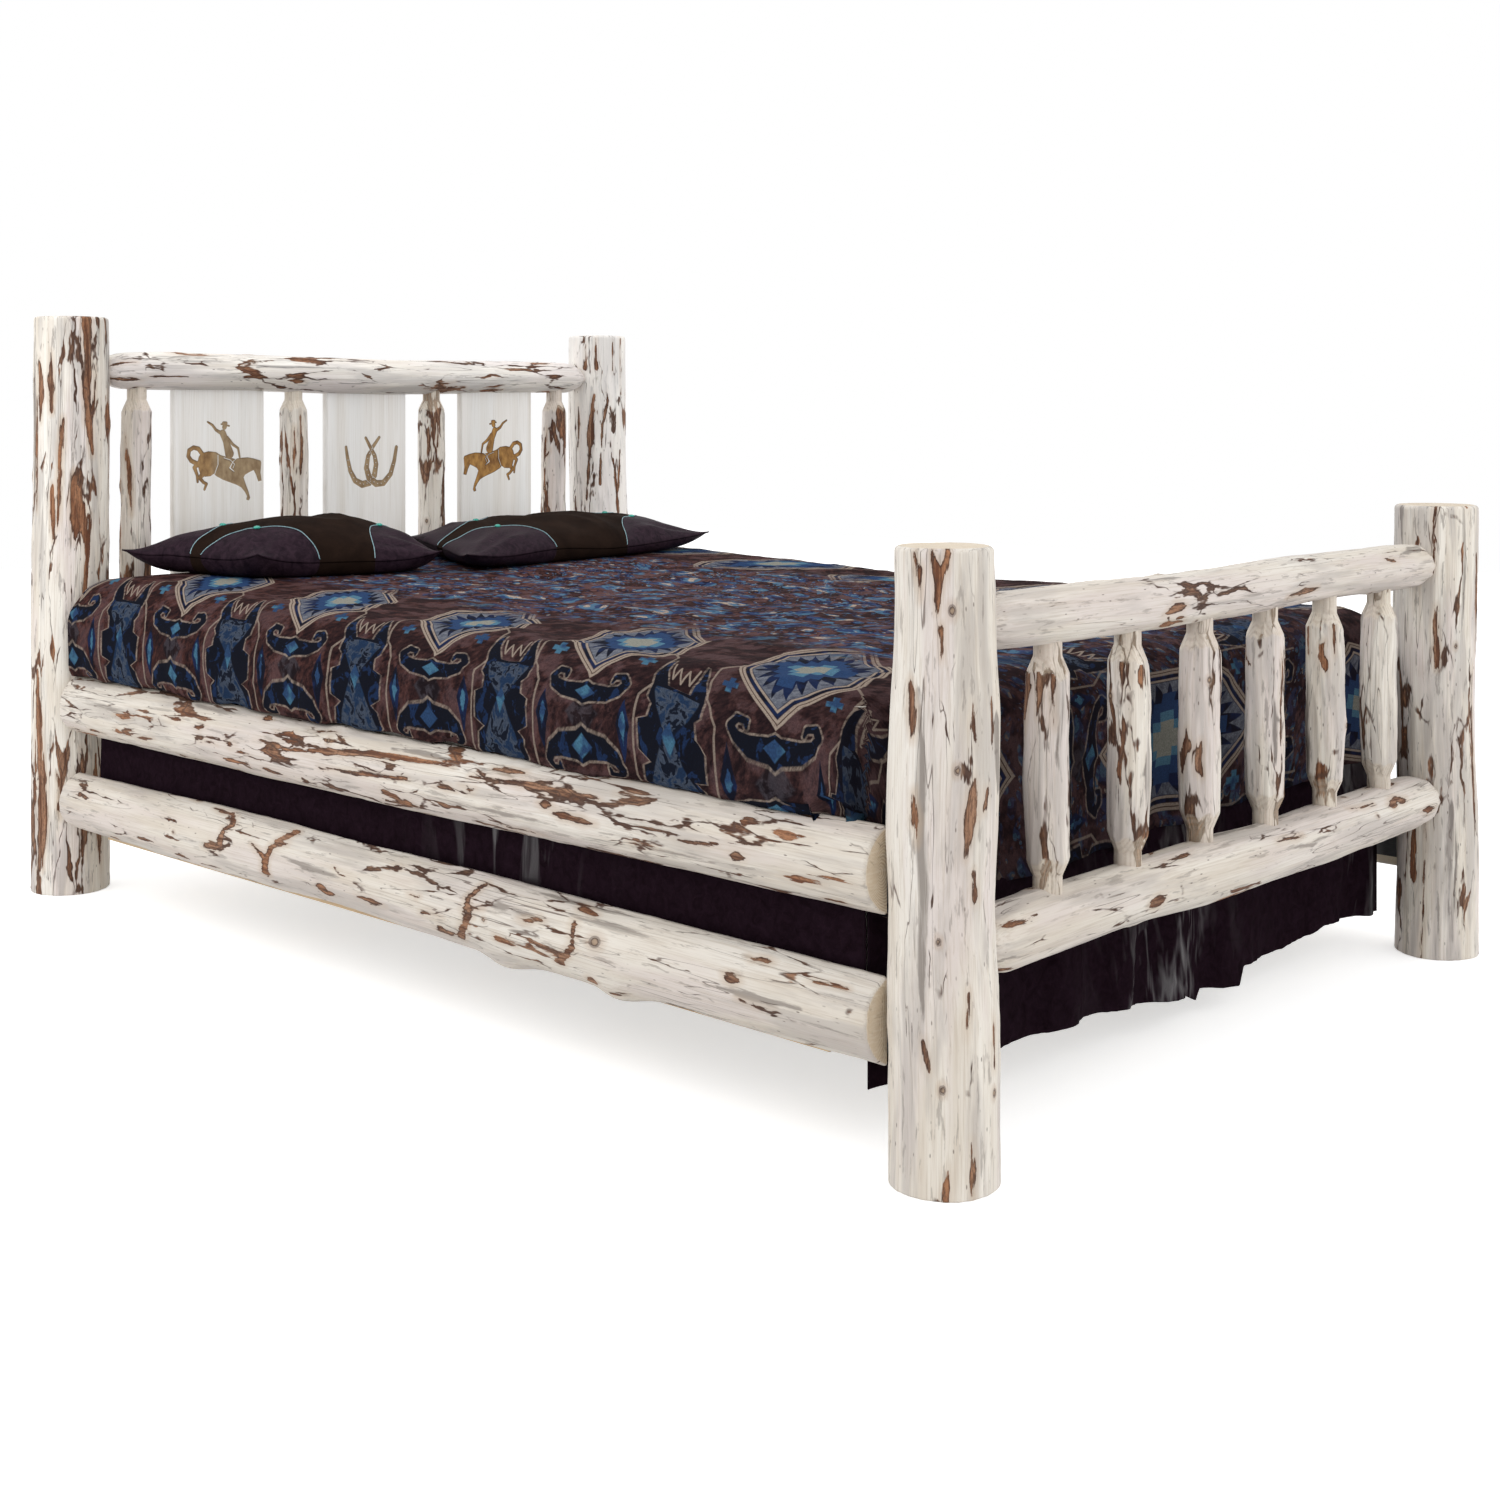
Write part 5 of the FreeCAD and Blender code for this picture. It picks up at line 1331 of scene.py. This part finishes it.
def make_pad(name, node, corner, quilt, material):
    """Mattress or box spring: a crowned block with taped edges and sewn sides."""
    low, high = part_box(node)
    middle_x, middle_y = (low.x + high.x) / 2, (low.y + high.y) / 2
    half_x, half_y, tall = (high.x - low.x) / 2, (high.y - low.y) / 2, high.z - low.z
    outline = rounded_outline(half_x, half_y, corner)
    caps = [0.02, 0.12, 0.25, 0.4, 0.55, 0.7, 0.82, 0.9, 0.95, 0.98]
    rings = [(scale, 0.0, 0.0) for scale in caps]
    tape = [(tape_rise * (1 - math.sin(turn)), -tape_inset * (1 - math.sin(turn)))
            for turn in np.linspace(0, 1.57, 5)]
    rings += [(1.0, rise, inset) for rise, inset in tape]
    rings += [(1.0, share * tall, None) for share in np.linspace(0.06, 0.94, 34)]
    rings += [(1.0, tall - rise, inset) for rise, inset in tape[::-1]]
    rings += [(scale, tall, 0.0) for scale in caps[::-1]]
    stack = []
    length = np.concatenate([[0], np.cumsum(np.hypot(*np.diff(outline, axis=0).T))])
    for scale, lift, inset in rings:
        ring = outline * scale
        if inset is None:
            share = lift / tall
            seam = (1 - abs(math.sin(share * math.pi * quilt))) ** 5
            inset = -0.001 - 0.009 * abs(2 * share - 1) ** 6 - 0.005 * seam
            inset = inset - 0.001 * np.sin(length * 60) ** 2
        span = np.hypot(*ring.T)[:, None]
        ring = ring * (1 + np.reshape(inset, (-1, 1)) / np.maximum(span, 0.05))
        stack.append(np.column_stack([ring[:, 0] + middle_x, ring[:, 1] + middle_y,
                                      np.full(len(ring), low.z + lift)]))
    made = set_material(closed_tube(name, np.array(stack)), material)
    dress(made, node)


def pillow_surface(name, s, t, top):
    """Points of a pillow's upper or lower cover, for places from -1 to 1 across and to the back."""
    corners, thick, seed = pillows[name]
    pull_s = s * (1 - 0.055 * (1 - t * t) * np.abs(s) ** 3)
    pull_t = t * (1 - 0.10 * (1 - s * s) * np.abs(t) ** 3)
    weights = [(1 - pull_s) * (1 - pull_t) / 4, (1 + pull_s) * (1 - pull_t) / 4,
               (1 + pull_s) * (1 + pull_t) / 4, (1 - pull_s) * (1 + pull_t) / 4]
    x = sum(weight * corner[0] for weight, corner in zip(weights, corners))
    y = sum(weight * corner[1] for weight, corner in zip(weights, corners))
    spot = np.stack([x, y, 0 * x + seed], -1)
    swell = (1 - np.abs(s) ** 2.4).clip(0) ** 0.62 * (1 - np.abs(t) ** 2.1).clip(0) ** 0.62
    tip = (np.abs(s) * np.abs(t)) ** 4
    droop = 0.30 + 0.10 * noise(spot * 5) + 0.16 * tip
    seam = thick * droop
    rest = along_bed(y, comforter_tops) + 0.0012
    wrinkle = 0.0050 * noise(spot * (7, 9, 1)) + 0.0042 * (1 - 2.3 * np.abs(noise(spot * (13, 8, 1) + 9)))
    pleat = 0.0050 * np.sin(np.arctan2(1.02 - np.abs(t), 1.02 - np.abs(s)) * 11 + seed) * smooth_step(
        np.abs(s) + np.abs(t), 0.9, 1.5) * np.sqrt(swell)
    if top:
        lift = rest + seam + (thick - seam) * swell
        lift = lift + (wrinkle + pleat) * np.minimum(swell * 2.2, 1) - 0.004 * swell
    else:
        lift = rest + seam * (1 - np.minimum(swell * 1.9, 1)) ** 1.7
    return np.stack([x, y, lift], -1)


def tube_along(name, points, radius, material):
    """Round cord through a line of points."""
    points = np.asarray(points)
    run = np.gradient(points, axis=0)
    run /= np.linalg.norm(run, axis=1, keepdims=True)
    side = np.cross(run, (0, 0, 1.0))
    side /= np.maximum(np.linalg.norm(side, axis=1, keepdims=True), 1e-6)
    lift = np.cross(side, run)
    angles = np.linspace(0, 2 * math.pi, 10, endpoint=False)[:, None]
    rings = points[:, None] + radius * (side[:, None] * np.cos(angles) + lift[:, None] * np.sin(angles))
    return set_material(closed_tube(name, rings), material)


def smooth_path(path, count):
    """Points of a smooth line through a few places."""
    path = np.array(path)
    share = np.linspace(0, 1, count)
    return np.stack([girth_at(share, tuple(path[:, axis])) for axis in range(path.shape[1])], -1)


def make_bead(name, place, material):
    """Flattened round stone sewn on the piping."""
    shares = np.linspace(0.08, 0.92, 12) * math.pi
    angles = np.linspace(0, 2 * math.pi, 20, endpoint=False)
    rings = np.stack([bead_radius * np.sin(shares)[:, None] * np.cos(angles),
                      bead_radius * np.sin(shares)[:, None] * np.sin(angles),
                      -0.55 * bead_radius * np.cos(shares)[:, None] + 0 * angles], -1) + place
    return set_material(closed_tube(name, rings), material)


def make_pillow(name, material, piping, stone):
    """Knife-edged pillow with leather yokes at its corners, edged with piping and a stone each."""
    turn = np.sin(np.linspace(-math.pi / 2, math.pi / 2, pillow_grid))
    s, t = np.meshgrid(turn, turn[::-1], indexing="xy")
    upper = pillow_surface(name, s, t, True)
    lower = pillow_surface(name, s, t, False)
    gap = np.minimum(upper[..., 2] - lower[..., 2] - pillow_seam_gap, 0)
    lower[..., 2] += gap
    edge = yoke_edge + ((1.3, 1.3),)
    yoke = polygon_distance(np.abs(s), np.abs(t), edge)
    made = make_shell(name + "_cover", upper, lower, material, [("yoke", yoke)])
    dress(made, name)
    path = smooth_path(yoke_edge, 60).clip(0, 0.995)
    for number, (side_s, side_t) in enumerate(((-1, -1), (1, -1), (-1, 1), (1, 1)), 1):
        line = pillow_surface(name, side_s * path[:, 0], side_t * path[:, 1], True)
        place = pillow_surface(name, np.array(side_s * bead_place[0]), np.array(side_t * bead_place[1]),
                               True)
        for made in (tube_along(f"{name}_piping_{number}", line + (0, 0, 0.0006), piping_radius, piping),
                     make_bead(f"{name}_stone_{number}", place + (0, 0, 0.001), stone)):
            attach(made, "root")


def figure_distance(x, z, kind):
    """Signed distance in metres to the burnt figure of a board, negative inside."""
    x, z = x * 1000, z * 1000
    if kind == "shoes":
        left = stroke_distance(x, z, left_shoe, shoe_widths)
        right = stroke_distance(x, z, right_shoe, shoe_widths)
        left = np.where(z < 0, np.maximum(left, shoe_gap - right), left)
        right = np.where(z > 0, np.maximum(right, shoe_gap - left), right)
        nearest = np.minimum(left, right)
        for shoe in (left_shoe, right_shoe):
            for (x0, z0), (x1, z1) in list(zip(shoe, shoe[1:]))[1:-1]:
                for share in (0.2, 0.7):
                    hole = np.hypot(x - x0 - (x1 - x0) * share, z - z0 - (z1 - z0) * share) - nail_radius
                    nearest = np.maximum(nearest, -hole)
        return nearest / 1000
    if kind == "right":
        x = -x
    nearest = polygon_distance(x, z, horse_body)
    for line, widths in horse_lines + rider:
        nearest = np.minimum(nearest, stroke_distance(x, z, line, widths))
    for line, widths in horse_seams:
        nearest = np.maximum(nearest, -stroke_distance(x, z, line, widths))
    return nearest / 1000


def make_boards(material):
    """Planed boards with burnt and sunken figures."""
    for number, (node, (middle, kind)) in enumerate(boards.items()):
        low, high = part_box(node)
        levels = np.concatenate([np.linspace(high.z, figure_z + figure_reach, 12)[:-1],
                                 np.linspace(figure_z + figure_reach, figure_z - figure_reach, 190),
                                 np.linspace(figure_z - figure_reach, low.z, 24)[1:]])
        x, z = np.meshgrid(np.linspace(-board_half, board_half, 200), levels, indexing="xy")
        burn = figure_distance(x, z - figure_z, kind)
        ease = np.clip(board_half - np.abs(x), 0, board_ease)
        sunk = figure_depth * (1 - smooth_step(burn, -0.0012, 0.0004)) + board_ease - ease
        front = np.stack([x + middle, board_y[0] + sunk, z], -1)
        back = np.stack([x + middle, board_y[1] - board_ease + ease, z], -1)
        rump = 0.55 - 0.55 * smooth_step(x, -0.030, -0.005)
        tone = {"left": rump, "shoes": 0.10 + 0 * x, "right": 1.0 + 0 * x}[kind]
        grain = np.stack([x + 3 * number, sunk * 0, z], -1)
        made = make_shell(node + "_board", front, back, material,
                          (("burn", burn, 1.0), ("tone", tone), ("grain", grain)))
        dress(made, node)


def paint(*levels):
    """Linear colour from levels of 0 to 255 as seen on a screen."""
    return tuple(((level / 255 + 0.055) / 1.055) ** 2.4 for level in levels)


def comforter_material():
    """Woven cover: rust-brown ground, navy horns and vases with pale edges, and blue medallions."""
    shade = Shade("comforter_weave")
    cloth = shade.vector("cloth")
    along, up, across = shade.parts(cloth)
    slanted = shade.join(along + up * 0.8, up - along * 0.8, across)
    streak = shade.noise(slanted, 95, (1, 0.10, 1), 5, 0.65)
    region = shade.noise(cloth, 6, (1, 1, 1), 3, 0.55)
    fleck = shade.noise(cloth, 420, (1, 0.35, 1), 3, 0.6)
    blue_share = shade.noise(cloth, 26, (1, 1, 1), 2, 0.5)
    mottle = shade.noise(cloth, 46, (1, 0.55, 1), 3, 0.6, 0.6)
    headward = along.above(0.2, 1.6)
    colour = shade.mix(streak.above(0.5, 0.28), paint(26, 17, 20), paint(84, 57, 55))
    colour = shade.mix(region.above(0.52, 0.16) * 0.5, colour, paint(50, 32, 31))
    colour = shade.mix(headward * streak.above(0.48, 0.2) * 0.35, colour, paint(106, 60, 46))
    band = shade.noise(cloth, 22, (1, 0.14, 1), 3, 0.6)
    colour = shade.mix(band.above(0.54, 0.10) * 0.4, colour, paint(108, 84, 86))
    colour = shade.mix(band.below(0.46, 0.08) * 0.6, colour, paint(26, 19, 23))
    beige = shade.mix(fleck.above(0.5, 0.3), paint(130, 114, 104), paint(196, 180, 164))
    blue = shade.mix(blue_share.above(0.5, 0.1), paint(46, 72, 108), paint(72, 116, 142))

    busy = colour
    swirl = shade.parts(slanted)
    bend = (shade.noise(cloth, 9, (1, 1, 1), 2, 0.5) - 0.5) * 0.16
    for scale, reach in ((15, 0.42), (34, 0.34), (70, 0.26)):
        dash = shade.cells(shade.join(swirl[0] + bend, swirl[1] + bend * 0.6, across), scale, (1, 0.42, 1))
        hue = shade.noise(slanted, scale * 1.1, (1, 0.6, 1), 2, 0.5)
        dashes = shade.mix(hue.above(0.46, 0.02), paint(24, 28, 50), shade.mix(
            hue.above(0.54, 0.02), paint(44, 66, 104), paint(74, 112, 138)))
        dashes = shade.mix(hue.above(0.64, 0.02), dashes, beige)
        dashes = shade.mix(hue.below(0.37, 0.02), dashes, paint(100, 70, 66))
        busy = shade.mix(dash.below(reach, 0.05) * 0.8, busy, dashes)
    colour = shade.mix(along.below(-0.95, 0.04) * up.above(0.46, 0.16) * 0.7, colour, busy)

    height_up = (up - 0.5 * repeat_across).wrap(repeat_across) + 0.5 * repeat_across
    slope = along * drift_gain + drift_slope
    drift = (up - drift_start).high(0.0).low(drift_reach) * slope
    x = (drift + horn_phase - along).wrap(repeat_along)
    side = abs(x)
    y = height_up - medallion_middle
    flat_y = abs(y)
    plate = (side - medallion_half[0]).high((flat_y + side * medallion_lean - medallion_half[1]) * 0.69)
    angle = shade.add("ShaderNodeMath", operation="ARCTAN2")
    shade.link(y, angle.inputs[0])
    shade.link(x * 1.5, angle.inputs[1])
    tooth = abs((Field(shade.tree, angle.outputs[0]) * 3.5014).wrap(1.0)) * 2.0
    navy = shade.mix(blue_share.above(0.5, 0.12), paint(20, 24, 38), paint(28, 42, 76))
    colour = shade.mix(plate.below(-0.012, 0.002), colour, navy)
    lilac = shade.mix(streak.above(0.5, 0.3), paint(80, 84, 98), paint(128, 132, 142))
    teeth = plate.below(-0.024, 0.002) * (plate + tooth * 0.030).above(-0.026, 0.003)
    colour = shade.mix(teeth, colour, lilac)
    steps = (side * 70.0).floor() * 0.0143 + (flat_y * 48.0).floor() * 0.0150
    colour = shade.mix(steps.below(0.062, 0.001), colour, paint(44, 70, 110))
    colour = shade.mix(steps.below(0.040, 0.001), colour, paint(86, 128, 152))
    colour = shade.mix(steps.below(0.016, 0.001), colour, paint(150, 150, 140))
    lines = abs(plate + 0.005).below(0.0058, 0.0015).high(abs(plate + 0.0205).below(0.0022, 0.0012))
    line = shade.stroke(side, height_up, lattice, (0.0022,) * len(lattice)).below(0.0, 0.0014)
    colour = shade.mix(lines, colour, beige)
    colour = shade.mix(line * (streak * 0.9 + 0.2), colour, beige)
    colour = shade.mix(abs(plate + 0.0050).below(0.0008, 0.0012), colour, paint(66, 44, 36))
    cross_x, cross_y = abs(side - cross_place[0]), abs(height_up - cross_place[1])
    upright = (cross_x - cross_arm).high(cross_y - cross_half)
    cross = upright.low((cross_x - cross_half).high(cross_y - cross_arm))
    colour = shade.mix(cross.below(0.0, 0.002), colour, blue)

    lift = abs(height_up - pair_middle)
    core = side.lozenge(lift - core_lift, core_half)
    horns = core.low(shade.stroke(side, lift, horn_arm, horn_widths))
    stem = side.lozenge(lift, stem_half)
    pin_x, pin_y = side - pin_place[0], height_up - pin_place[1]
    pin = pin_x.lozenge(pin_y, pin_half)
    colour = shade.mix(stem.below(0.0, 0.004) * 0.85, colour, shade.mix(
        mottle.above(0.5, 0.1), paint(26, 22, 26), paint(64, 60, 66)))
    colour = shade.mix(pin.below(0.0, 0.002), colour, navy)
    colour = shade.mix((pin + (mottle - 0.5) * 0.02).below(-0.008, 0.002), colour, blue)

    vase_x = abs((drift + vase_phase - along).wrap(repeat_along))
    vase = (vase_x - height_up.profile(vase_outside)).high(height_up.profile(vase_gap) - vase_x) * 0.8
    motif = horns.low(vase)
    dark = shade.mix(mottle.above(0.58, 0.05), paint(18, 22, 32), paint(30, 48, 80))
    colour = shade.mix(motif.below(0.0, 0.0016), colour, dark)
    body = vase_x - height_up.profile(vase_body)
    hazy = shade.mix(mottle.above(0.46, 0.06), paint(34, 54, 82), paint(70, 80, 96))
    hazy = shade.mix(mottle.above(0.56, 0.03), hazy, paint(20, 27, 40))
    colour = shade.mix(body.below(0.0, 0.003) * vase.below(-0.004, 0.002), colour, hazy)
    light = side.lozenge(lift - core_lift, core_light_half)
    waist = vase_x.lozenge(height_up - waist_place, waist_half)
    colour = shade.mix(light.low(waist).below(0.0, 0.0016), colour, blue)
    zigzag = shade.stroke(vase_x, height_up, vase_zigzag, (0.0018,) * len(vase_zigzag))
    edge = abs(motif - 0.0014).below(0.0017, 0.0014)
    colour = shade.mix(edge * (streak.above(0.52, 0.25) * 0.7 + 0.15), colour, beige)
    colour = shade.mix(zigzag.below(0.0, 0.0014) * 0.85, colour, beige)
    colour = shade.mix(fleck.above(0.45, 0.4) * 0.45, colour, paint(20, 15, 19))
    # Painted shade on the hanging foot of the cover, darker where the footboard shades it
    colour = shade.mix(along.below(-1.03, 0.08) * 0.45, colour, paint(22, 15, 18))
    top = (up + (mottle - 0.5) * 0.15).above(0.480, 0.10) * along.above(-0.95, 0.04)
    colour = shade.mix(top, colour, busy)
    weave = fleck * 0.5 + streak * 0.5
    return shade.finish(colour, 0.8, weave, 0.0010, 0.6, Specular_IOR_Level=0.02)


def skirt_material():
    """Dark purple cloth with a leathery, crinkled sheen."""
    shade = Shade("skirt_cloth")
    place = shade.place()
    crinkle = shade.noise(place, 55, (1, 1, 1), 5, 0.65, 0.8)
    grain = shade.cells(place, 420)
    colour = shade.mix(crinkle.above(0.5, 0.4), paint(20, 11, 16), paint(34, 22, 30))
    height = crinkle * 0.8 + grain * 0.15
    crease = shade.noise(place, 17, (1, 1, 0.22), 3, 0.6, 1.0)
    shine = shade.value("shine") * crease.above(0.54, 0.10)
    shade.link(shine * 0.60 + 0.008, shade.surface.inputs["Specular IOR Level"])
    return shade.finish(colour, crinkle * 0.2 - shine * 0.45 + 0.75, height, 0.0016, 0.5)


def ticking_material():
    """Quilted off-white ticking."""
    shade = Shade("ticking")
    place = shade.place()
    weave = shade.noise(place, 600, (1, 1, 1), 2, 0.5)
    cloud = shade.noise(place, 12, (1, 1, 1), 3, 0.5)
    colour = shade.mix(weave.above(0.5, 0.5), paint(204, 200, 192), paint(226, 223, 215))
    colour = shade.mix(cloud.above(0.55, 0.2) * 0.3, colour, paint(196, 190, 180))
    return shade.finish(colour, 0.8, weave, 0.0004, 0.6, Sheen_Weight=0.2)


def pillow_material():
    """Brushed brown suede with dark leather yokes."""
    shade = Shade("pillow_suede")
    place = shade.place()
    nap = shade.noise(place, 16, (1, 1, 1), 4, 0.6, 0.4)
    fuzz = shade.noise(place, 500, (1, 1, 1), 3, 0.6)
    colour = shade.mix(nap.above(0.52, 0.5), paint(27, 18, 14), paint(47, 34, 27))
    colour = shade.mix(fuzz.above(0.5, 0.4) * 0.4, colour, paint(18, 12, 11))
    yoke = shade.value("yoke")
    leather = yoke.below(0.0, 0.008)
    crease = shade.noise(place, 60, (1, 1, 1), 5, 0.65, 0.8)
    hide = shade.mix(crease.above(0.5, 0.3), paint(30, 20, 28), paint(52, 38, 47))
    colour = shade.mix(leather, colour, hide)
    rough = leather * (crease * 0.25 - 0.50) + 0.88
    height = fuzz * 0.25 + leather * crease * 0.8
    return shade.finish(colour, rough, height, 0.0022, 0.7, Specular_IOR_Level=0.035)


def plain_material(name, low, high, rough, scale):
    """Small trimmings: one colour with a little cloud in it."""
    shade = Shade(name)
    cloud = shade.noise(shade.place(), scale, (1, 1, 1), 3, 0.6)
    return shade.finish(shade.mix(cloud.above(0.5, 0.3), low, high), rough, cloud, 0.0003, 0.5)


def board_material():
    """Planed pale board with upright grain and a burnt, sunken figure."""
    shade = Shade("planed_board")
    grain = shade.vector("grain")
    burn, tone = shade.value("burn"), shade.value("tone")
    streak = shade.noise(grain, 30, (1, 1, 0.03), 5, 0.6, 0.3)
    fine = shade.noise(grain, 320, (1, 1, 0.02), 3, 0.6)
    broad = shade.noise(grain, 9, (1, 1, 0.12), 2, 0.5)
    colour = shade.mix(streak.above(0.52, 0.40), paint(250, 248, 245), paint(228, 222, 213))
    colour = shade.mix(broad.above(0.55, 0.2) * 0.5, colour, paint(236, 237, 236))
    colour = shade.mix(fine.above(0.58, 0.12) * 0.22, colour, paint(196, 186, 172))
    mottle = shade.noise(grain, 70, (1, 1, 0.5), 4, 0.6)
    cool = shade.mix(mottle.above(0.5, 0.3), paint(136, 112, 84), paint(170, 148, 116))
    warm = shade.mix(mottle.above(0.5, 0.3), paint(118, 78, 36), paint(182, 136, 72))
    scorch = shade.mix(tone, cool, warm)
    inside = burn.below(0.0, 0.0010)
    colour = shade.mix(inside, colour, scorch)
    rim = abs(burn + 0.0004).below(0.0007, 0.0008) * (tone * 0.6 + 0.20)
    colour = shade.mix(rim, colour, paint(62, 44, 28))
    height = fine * 0.3 + streak * 0.2 + inside * mottle * 0.6
    return shade.finish(colour, 0.6, height, 0.0008, 0.7, Specular_IOR_Level=0.3)


def build_bedding():
    """Mattress, box spring, skirt, comforter and pillows."""
    ticking, skirt = ticking_material(), skirt_material()
    make_pad("mattress_pad", "mattress", mattress_corner, 4, ticking)
    make_pad("box_spring_pad", "box_spring", box_spring_corner, 2, ticking)
    for side in (-1, 1):
        make_side_skirt(side, skirt)
    make_foot_skirt(skirt)
    make_deck(skirt)
    make_comforter(comforter_material())
    suede = pillow_material()
    piping = plain_material("piping", paint(96, 138, 148), paint(160, 190, 196), 0.5, 300)
    stone = plain_material("stone", paint(28, 120, 108), paint(70, 190, 170), 0.2, 500)
    for name in pillows:
        make_pillow(name, suede, piping, stone)


# The camera's place and aim, its lens and its shift, the floor, and the lamps' places, sizes and powers
eye_place = (-2.7813, -2.7075, 1.0026)
eye_aim = (0.7302, 0.6833, 0)
eye_settings = {"sensor_width": 36, "lens": 47.18, "shift_y": -0.2276, "clip_end": 100}
floor_half = 9.0
floor_glow = 0.55
floor_looks = {"Base Color": (0.86, 0.86, 0.86, 1), "Roughness": 0.9, "Specular IOR Level": 0.0,
               "Emission Color": (1, 1, 1, 1)}
world_glow = 0.86
sun_power = 0.75
sun_angle = 80
sun_place = (0.8, -4.0, 3.0)
sun_aim = (-0.25, 1.0, -0.75)
lamp_target = (0, 0, 0.5)
lamps = (
    ("side", (-3.4, 1.1, 3.2), 2.6, 50),
    ("back", (0.5, 3.6, 3.4), 3.0, 18),
)


def stand(data, place, aim):
    """Object for a camera or a lamp, which looks along its aim."""
    made = bpy.data.objects.new(data.name, data)
    made.location = place
    made.rotation_euler = Vector(aim).to_track_quat("-Z", "Y").to_euler()
    bpy.context.scene.collection.objects.link(made)
    return made


def seen_rays(tree):
    """1 for rays that show a thing to the camera, straight on, mirrored or through; 0 for the rest."""
    path = tree.nodes.new("ShaderNodeLightPath")
    straight, mirrored, through = (Field(tree, path.outputs[f"Is {kind} Ray"])
                                   for kind in ("Camera", "Glossy", "Transmission"))
    return straight.high(mirrored).high(through)


def make_floor():
    """Pale floor with a little light of its own."""
    corners = [(-floor_half, -floor_half, 0), (floor_half, -floor_half, 0), (floor_half, floor_half, 0),
               (-floor_half, floor_half, 0)]
    floor = new_mesh("floor", corners, [np.array([[0, 1, 2, 3]])], smooth=False)
    shade = Shade("floor")
    for key, value in floor_looks.items():
        shade.surface.inputs[key].default_value = value
    shade.link(seen_rays(shade.tree) * floor_glow, shade.surface.inputs["Emission Strength"])
    set_material(floor, shade.material)


def make_world():
    """White all round, a little dimmer where it lights than where it is seen."""
    world = bpy.data.worlds.new("studio")
    bpy.context.scene.world = world
    world.use_nodes = True
    tree = world.node_tree
    mix = tree.nodes.new("ShaderNodeMixShader")
    tree.links.new(seen_rays(tree).socket, mix.inputs[0])
    backgrounds = (tree.nodes["Background"], world_glow), (tree.nodes.new("ShaderNodeBackground"), 1.0)
    for number, (background, strength) in enumerate(backgrounds, 1):
        background.inputs["Color"].default_value = (1, 1, 1, 1)
        background.inputs["Strength"].default_value = strength
        tree.links.new(background.outputs[0], mix.inputs[number])
    tree.links.new(mix.outputs[0], tree.nodes["World Output"].inputs["Surface"])


def camera_and_light():
    """The photograph's view, a pale floor and soft light."""
    lens = bpy.data.cameras.new("camera")
    for key, value in eye_settings.items():
        setattr(lens, key, value)
    bpy.context.scene.camera = stand(lens, eye_place, eye_aim)
    make_floor()
    make_world()
    sun = bpy.data.lights.new("front", "SUN")
    sun.energy = sun_power
    sun.angle = math.radians(sun_angle)
    stand(sun, sun_place, sun_aim)
    for name, place, size, power in lamps:
        lamp = bpy.data.lights.new(name, "AREA")
        lamp.shape = "SQUARE"
        lamp.size = size
        lamp.energy = power
        stand(lamp, place, Vector(lamp_target) - Vector(place))
    bpy.context.scene.view_settings.view_transform = "Standard"


build_logs()
dress_hidden_frame()
make_boards(board_material())
build_bedding()
camera_and_light()
